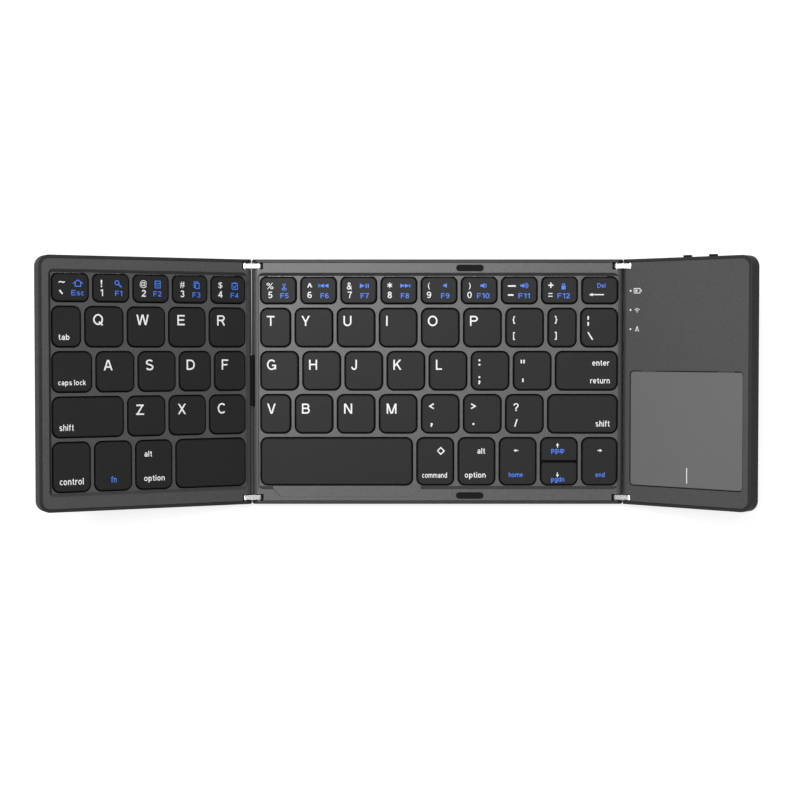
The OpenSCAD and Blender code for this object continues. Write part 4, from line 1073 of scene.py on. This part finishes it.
# Line on the touchpad: its width, its ends behind the front edge, its place right of the middle
PAD_LINE_W = 0.4
PAD_LINE_Y = (1.9, 7.7)
PAD_LINE_X = 0.9


def battery_sign(ink):
    outline(ink, -1.2, 1, -0.6, 0.6, 0.22)
    ink.stroke([(1.4, -0.2), (1.4, 0.2)], 0.3)
    ink.stroke([(-0.6, 0), (-0.1, 0)], 0.5)


def wireless_sign(ink, x, y):
    """Plain radio waves over a dot, for any kind of wireless link."""
    low = y - 0.8
    ink.disc(x, low, WAVE_LINE)
    for radius in (0.75, 1.35):
        ink.ring(x, low, radius, WAVE_LINE, 40, 140, 8)


def print_wing_marks(ink_material):
    lights = on_panel("indicator_lights", "right") / MM
    face = on_panel("right_deck", "right")[:, 2].max()
    x = lights[:, 0].max()
    rows = sorted({round(float(v), 1) for v in lights[:, 1]})
    low, high = rows[0], rows[-1]
    radius = (lights[:, 0].max() - lights[:, 0].min()) / 2
    rear, middle, front = high - radius, (low + high) / 2, low + radius
    ink = Ink("right", face)
    battery_sign(ink)
    ink.fit(0, (x + BATTERY_X[0], x + BATTERY_X[1], rear - MARK_H / 2, rear + MARK_H / 2))
    wireless_sign(ink, x + MARK_X, middle)
    ink.text("A", x + MARK_X, front - MARK_H / 2, MARK_H, "centre", hand=FINE)
    ink.build("wing_marks", ink_material, "right_wing", "deck_plastic")


def print_touchpad_mark(ink_material):
    """Short line that parts the touchpad's left and right click."""
    pad = on_panel("touchpad", "right") / MM
    front, right, left = pad[:, 1].min(), pad[:, 0].max(), pad[:, 0].min()
    ink = Ink("right", pad[:, 2].max() * MM)
    x = (left + right) / 2 + PAD_LINE_X
    ink.stroke([(x, front + end) for end in PAD_LINE_Y], PAD_LINE_W)
    ink.build("touchpad_mark", ink_material, "touchpad", "touchpad_face")


# ---------- Stage and light ----------

FLOOR_SIZE = 12
FLOOR_ROUGHNESS = 0.9
FLOOR_DARK = (0.38, 0.38, 0.38)
FLOOR_LIGHT = (0.42, 0.42, 0.42)
# The floor's own white near the keyboard, where the lamps add to it; it grows to 1 between
# these distances from the middle, in millimetres, because the lamps' light falls off there
FLOOR_GLOW = 0.75
GLOW_GROWS = (400, 1500)
# Painted shade on the floor below the keyboard at rest, fixed in place, in millimetres, and its soft
# borders outside
PAINTED_SHADE_X = (-62, 95)
PAINTED_SHADE_Y = (-48.3, 48.6)
PAINTED_SHADE_BORDER_X = 6
PAINTED_SHADE_BORDER_Y = 1.5
# Painted light inside that painted shade, for the left gap: it fades to the right, and most of it is at the
# rear
PAINTED_LEAK_X = (-60, 90)
PAINTED_LEAK_Y = (0, 45)
PAINTED_LEAK_STRENGTH = (0.07, 0.45)


def in_metres(span):
    return [place * MM for place in span]


def between(nodes, source, low, high, border):
    """1 between two places and 0 beyond them, over a soft border."""
    rise = nodes.ramp(source, in_metres((low - border, low)), (0, 1), "SMOOTHSTEP")
    fall = nodes.ramp(source, in_metres((high + border, high)), (0, 1), "SMOOTHSTEP")
    return nodes.product(rise, fall)


def floor_white_with_painted_shade(nodes):
    """Strength of the floor's own white, with a painted shade where the keyboard stands at rest and painted
    light in it at the left gap.
    """
    axes = nodes.new("SeparateXYZ")
    nodes.link(nodes.place, axes.inputs[0])
    x, y = axes.outputs["X"], axes.outputs["Y"]
    # across and cover make the painted shade below the keyboard at rest; it stays put when the wings fold
    across = between(nodes, x, *PAINTED_SHADE_X, PAINTED_SHADE_BORDER_X)
    cover = nodes.product(across, between(nodes, y, *PAINTED_SHADE_Y, PAINTED_SHADE_BORDER_Y))
    # fade and leak make the painted light through the left gap
    fade = nodes.ramp(x, in_metres(PAINTED_LEAK_X), (1, 0))
    painted_leak = nodes.product(fade, nodes.ramp(y, in_metres(PAINTED_LEAK_Y), PAINTED_LEAK_STRENGTH))
    distance = nodes.new("VectorMath", operation="LENGTH")
    nodes.link(nodes.place, distance.inputs[0])
    around = nodes.ramp(distance.outputs["Value"], in_metres(GLOW_GROWS), (FLOOR_GLOW, 1))
    strength = nodes.new("Mix", data_type="FLOAT")
    nodes.link(around, strength.inputs["A"])
    nodes.link(cover, strength.inputs["Factor"])
    nodes.link(painted_leak, strength.inputs["B"])
    return strength.outputs["Result"]


def add_floor():
    """Pale floor that only the camera sees as white, with a painted shade under the keyboard at rest, and
    that keeps the keyboard's cast shadow.
    """
    bpy.ops.mesh.primitive_plane_add(size=FLOOR_SIZE, location=(0, 0, 0))
    floor = bpy.context.object
    floor.name = "floor"
    nodes = Nodes("floor")
    nodes.put("Roughness", FLOOR_ROUGHNESS)
    nodes.tint(nodes.noise(grain_mm=3), FLOOR_DARK, FLOOR_LIGHT)
    path = nodes.new("LightPath")
    glow = nodes.new("Emission")
    nodes.link(floor_white_with_painted_shade(nodes), glow.inputs["Strength"])
    both = nodes.new("AddShader")
    choose = nodes.new("MixShader")
    nodes.link(nodes.shader.outputs["BSDF"], both.inputs[0])
    nodes.link(glow.outputs["Emission"], both.inputs[1])
    nodes.link(path.outputs["Is Camera Ray"], choose.inputs["Fac"])
    nodes.link(nodes.shader.outputs["BSDF"], choose.inputs[1])
    nodes.link(both.outputs["Shader"], choose.inputs[2])
    nodes.link(choose.outputs["Shader"], nodes.output.inputs["Surface"])
    floor.data.materials.append(nodes.material)


ROOM_COLOUR = (0.9, 0.92, 0.95, 1)
ROOM_STRENGTH = 0.14
BACKGROUND = (1, 1, 1, 1)


def add_world():
    """Dim studio around the object, seen as plain white by the camera."""
    world = bpy.data.worlds.new("studio")
    bpy.context.scene.world = world
    world.use_nodes = True
    tree = world.node_tree
    room = tree.nodes["Background"]
    room.inputs["Color"].default_value = ROOM_COLOUR
    room.inputs["Strength"].default_value = ROOM_STRENGTH
    white = tree.nodes.new("ShaderNodeBackground")
    white.inputs["Color"].default_value = BACKGROUND
    path = tree.nodes.new("ShaderNodeLightPath")
    choose = tree.nodes.new("ShaderNodeMixShader")
    tree.links.new(path.outputs["Is Camera Ray"], choose.inputs["Fac"])
    tree.links.new(room.outputs["Background"], choose.inputs[1])
    tree.links.new(white.outputs["Background"], choose.inputs[2])
    tree.links.new(choose.outputs["Shader"], tree.nodes["World Output"].inputs["Surface"])


# Place, width and length in metres, and power in watts; each one faces the keyboard
SOFTBOXES = {
    "overhead": ((-0.27, 0.38, 1.5), (0.9, 0.8), 24),
    "side_strip": ((0.8, 0.1, 1.4), (0.35, 1.2), 2.5),
    "low_strip": ((-1.2, 0.1, 0.36), (0.5, 1.2), 2.5),
}


def add_lights():
    for name, (place, size, power) in SOFTBOXES.items():
        light = bpy.data.lights.new(name, "AREA")
        light.shape = "RECTANGLE"
        light.size, light.size_y = size
        light.energy = power
        holder = show(name, light)
        holder.location = place
        holder.rotation_euler = (-Vector(place)).to_track_quat("-Z", "Y").to_euler()


# ---------- Making ----------

add_camera()
dress_nodes()
WHITE_INK = printed_ink("white_ink", WHITE)
BLUE_INK = printed_ink("blue_ink", BLUE)
print_legends(WHITE_INK, BLUE_INK)
part_dome_sheet("centre_dome_sheet", "centre")
part_dome_sheet("left_dome_sheet", "left")
print_wing_marks(WHITE_INK)
print_touchpad_mark(WHITE_INK)
add_floor()
add_world()
add_lights()
bpy.data.objects.remove(FONT_HOLDER)
bpy.context.scene.view_settings.view_transform = "Standard"
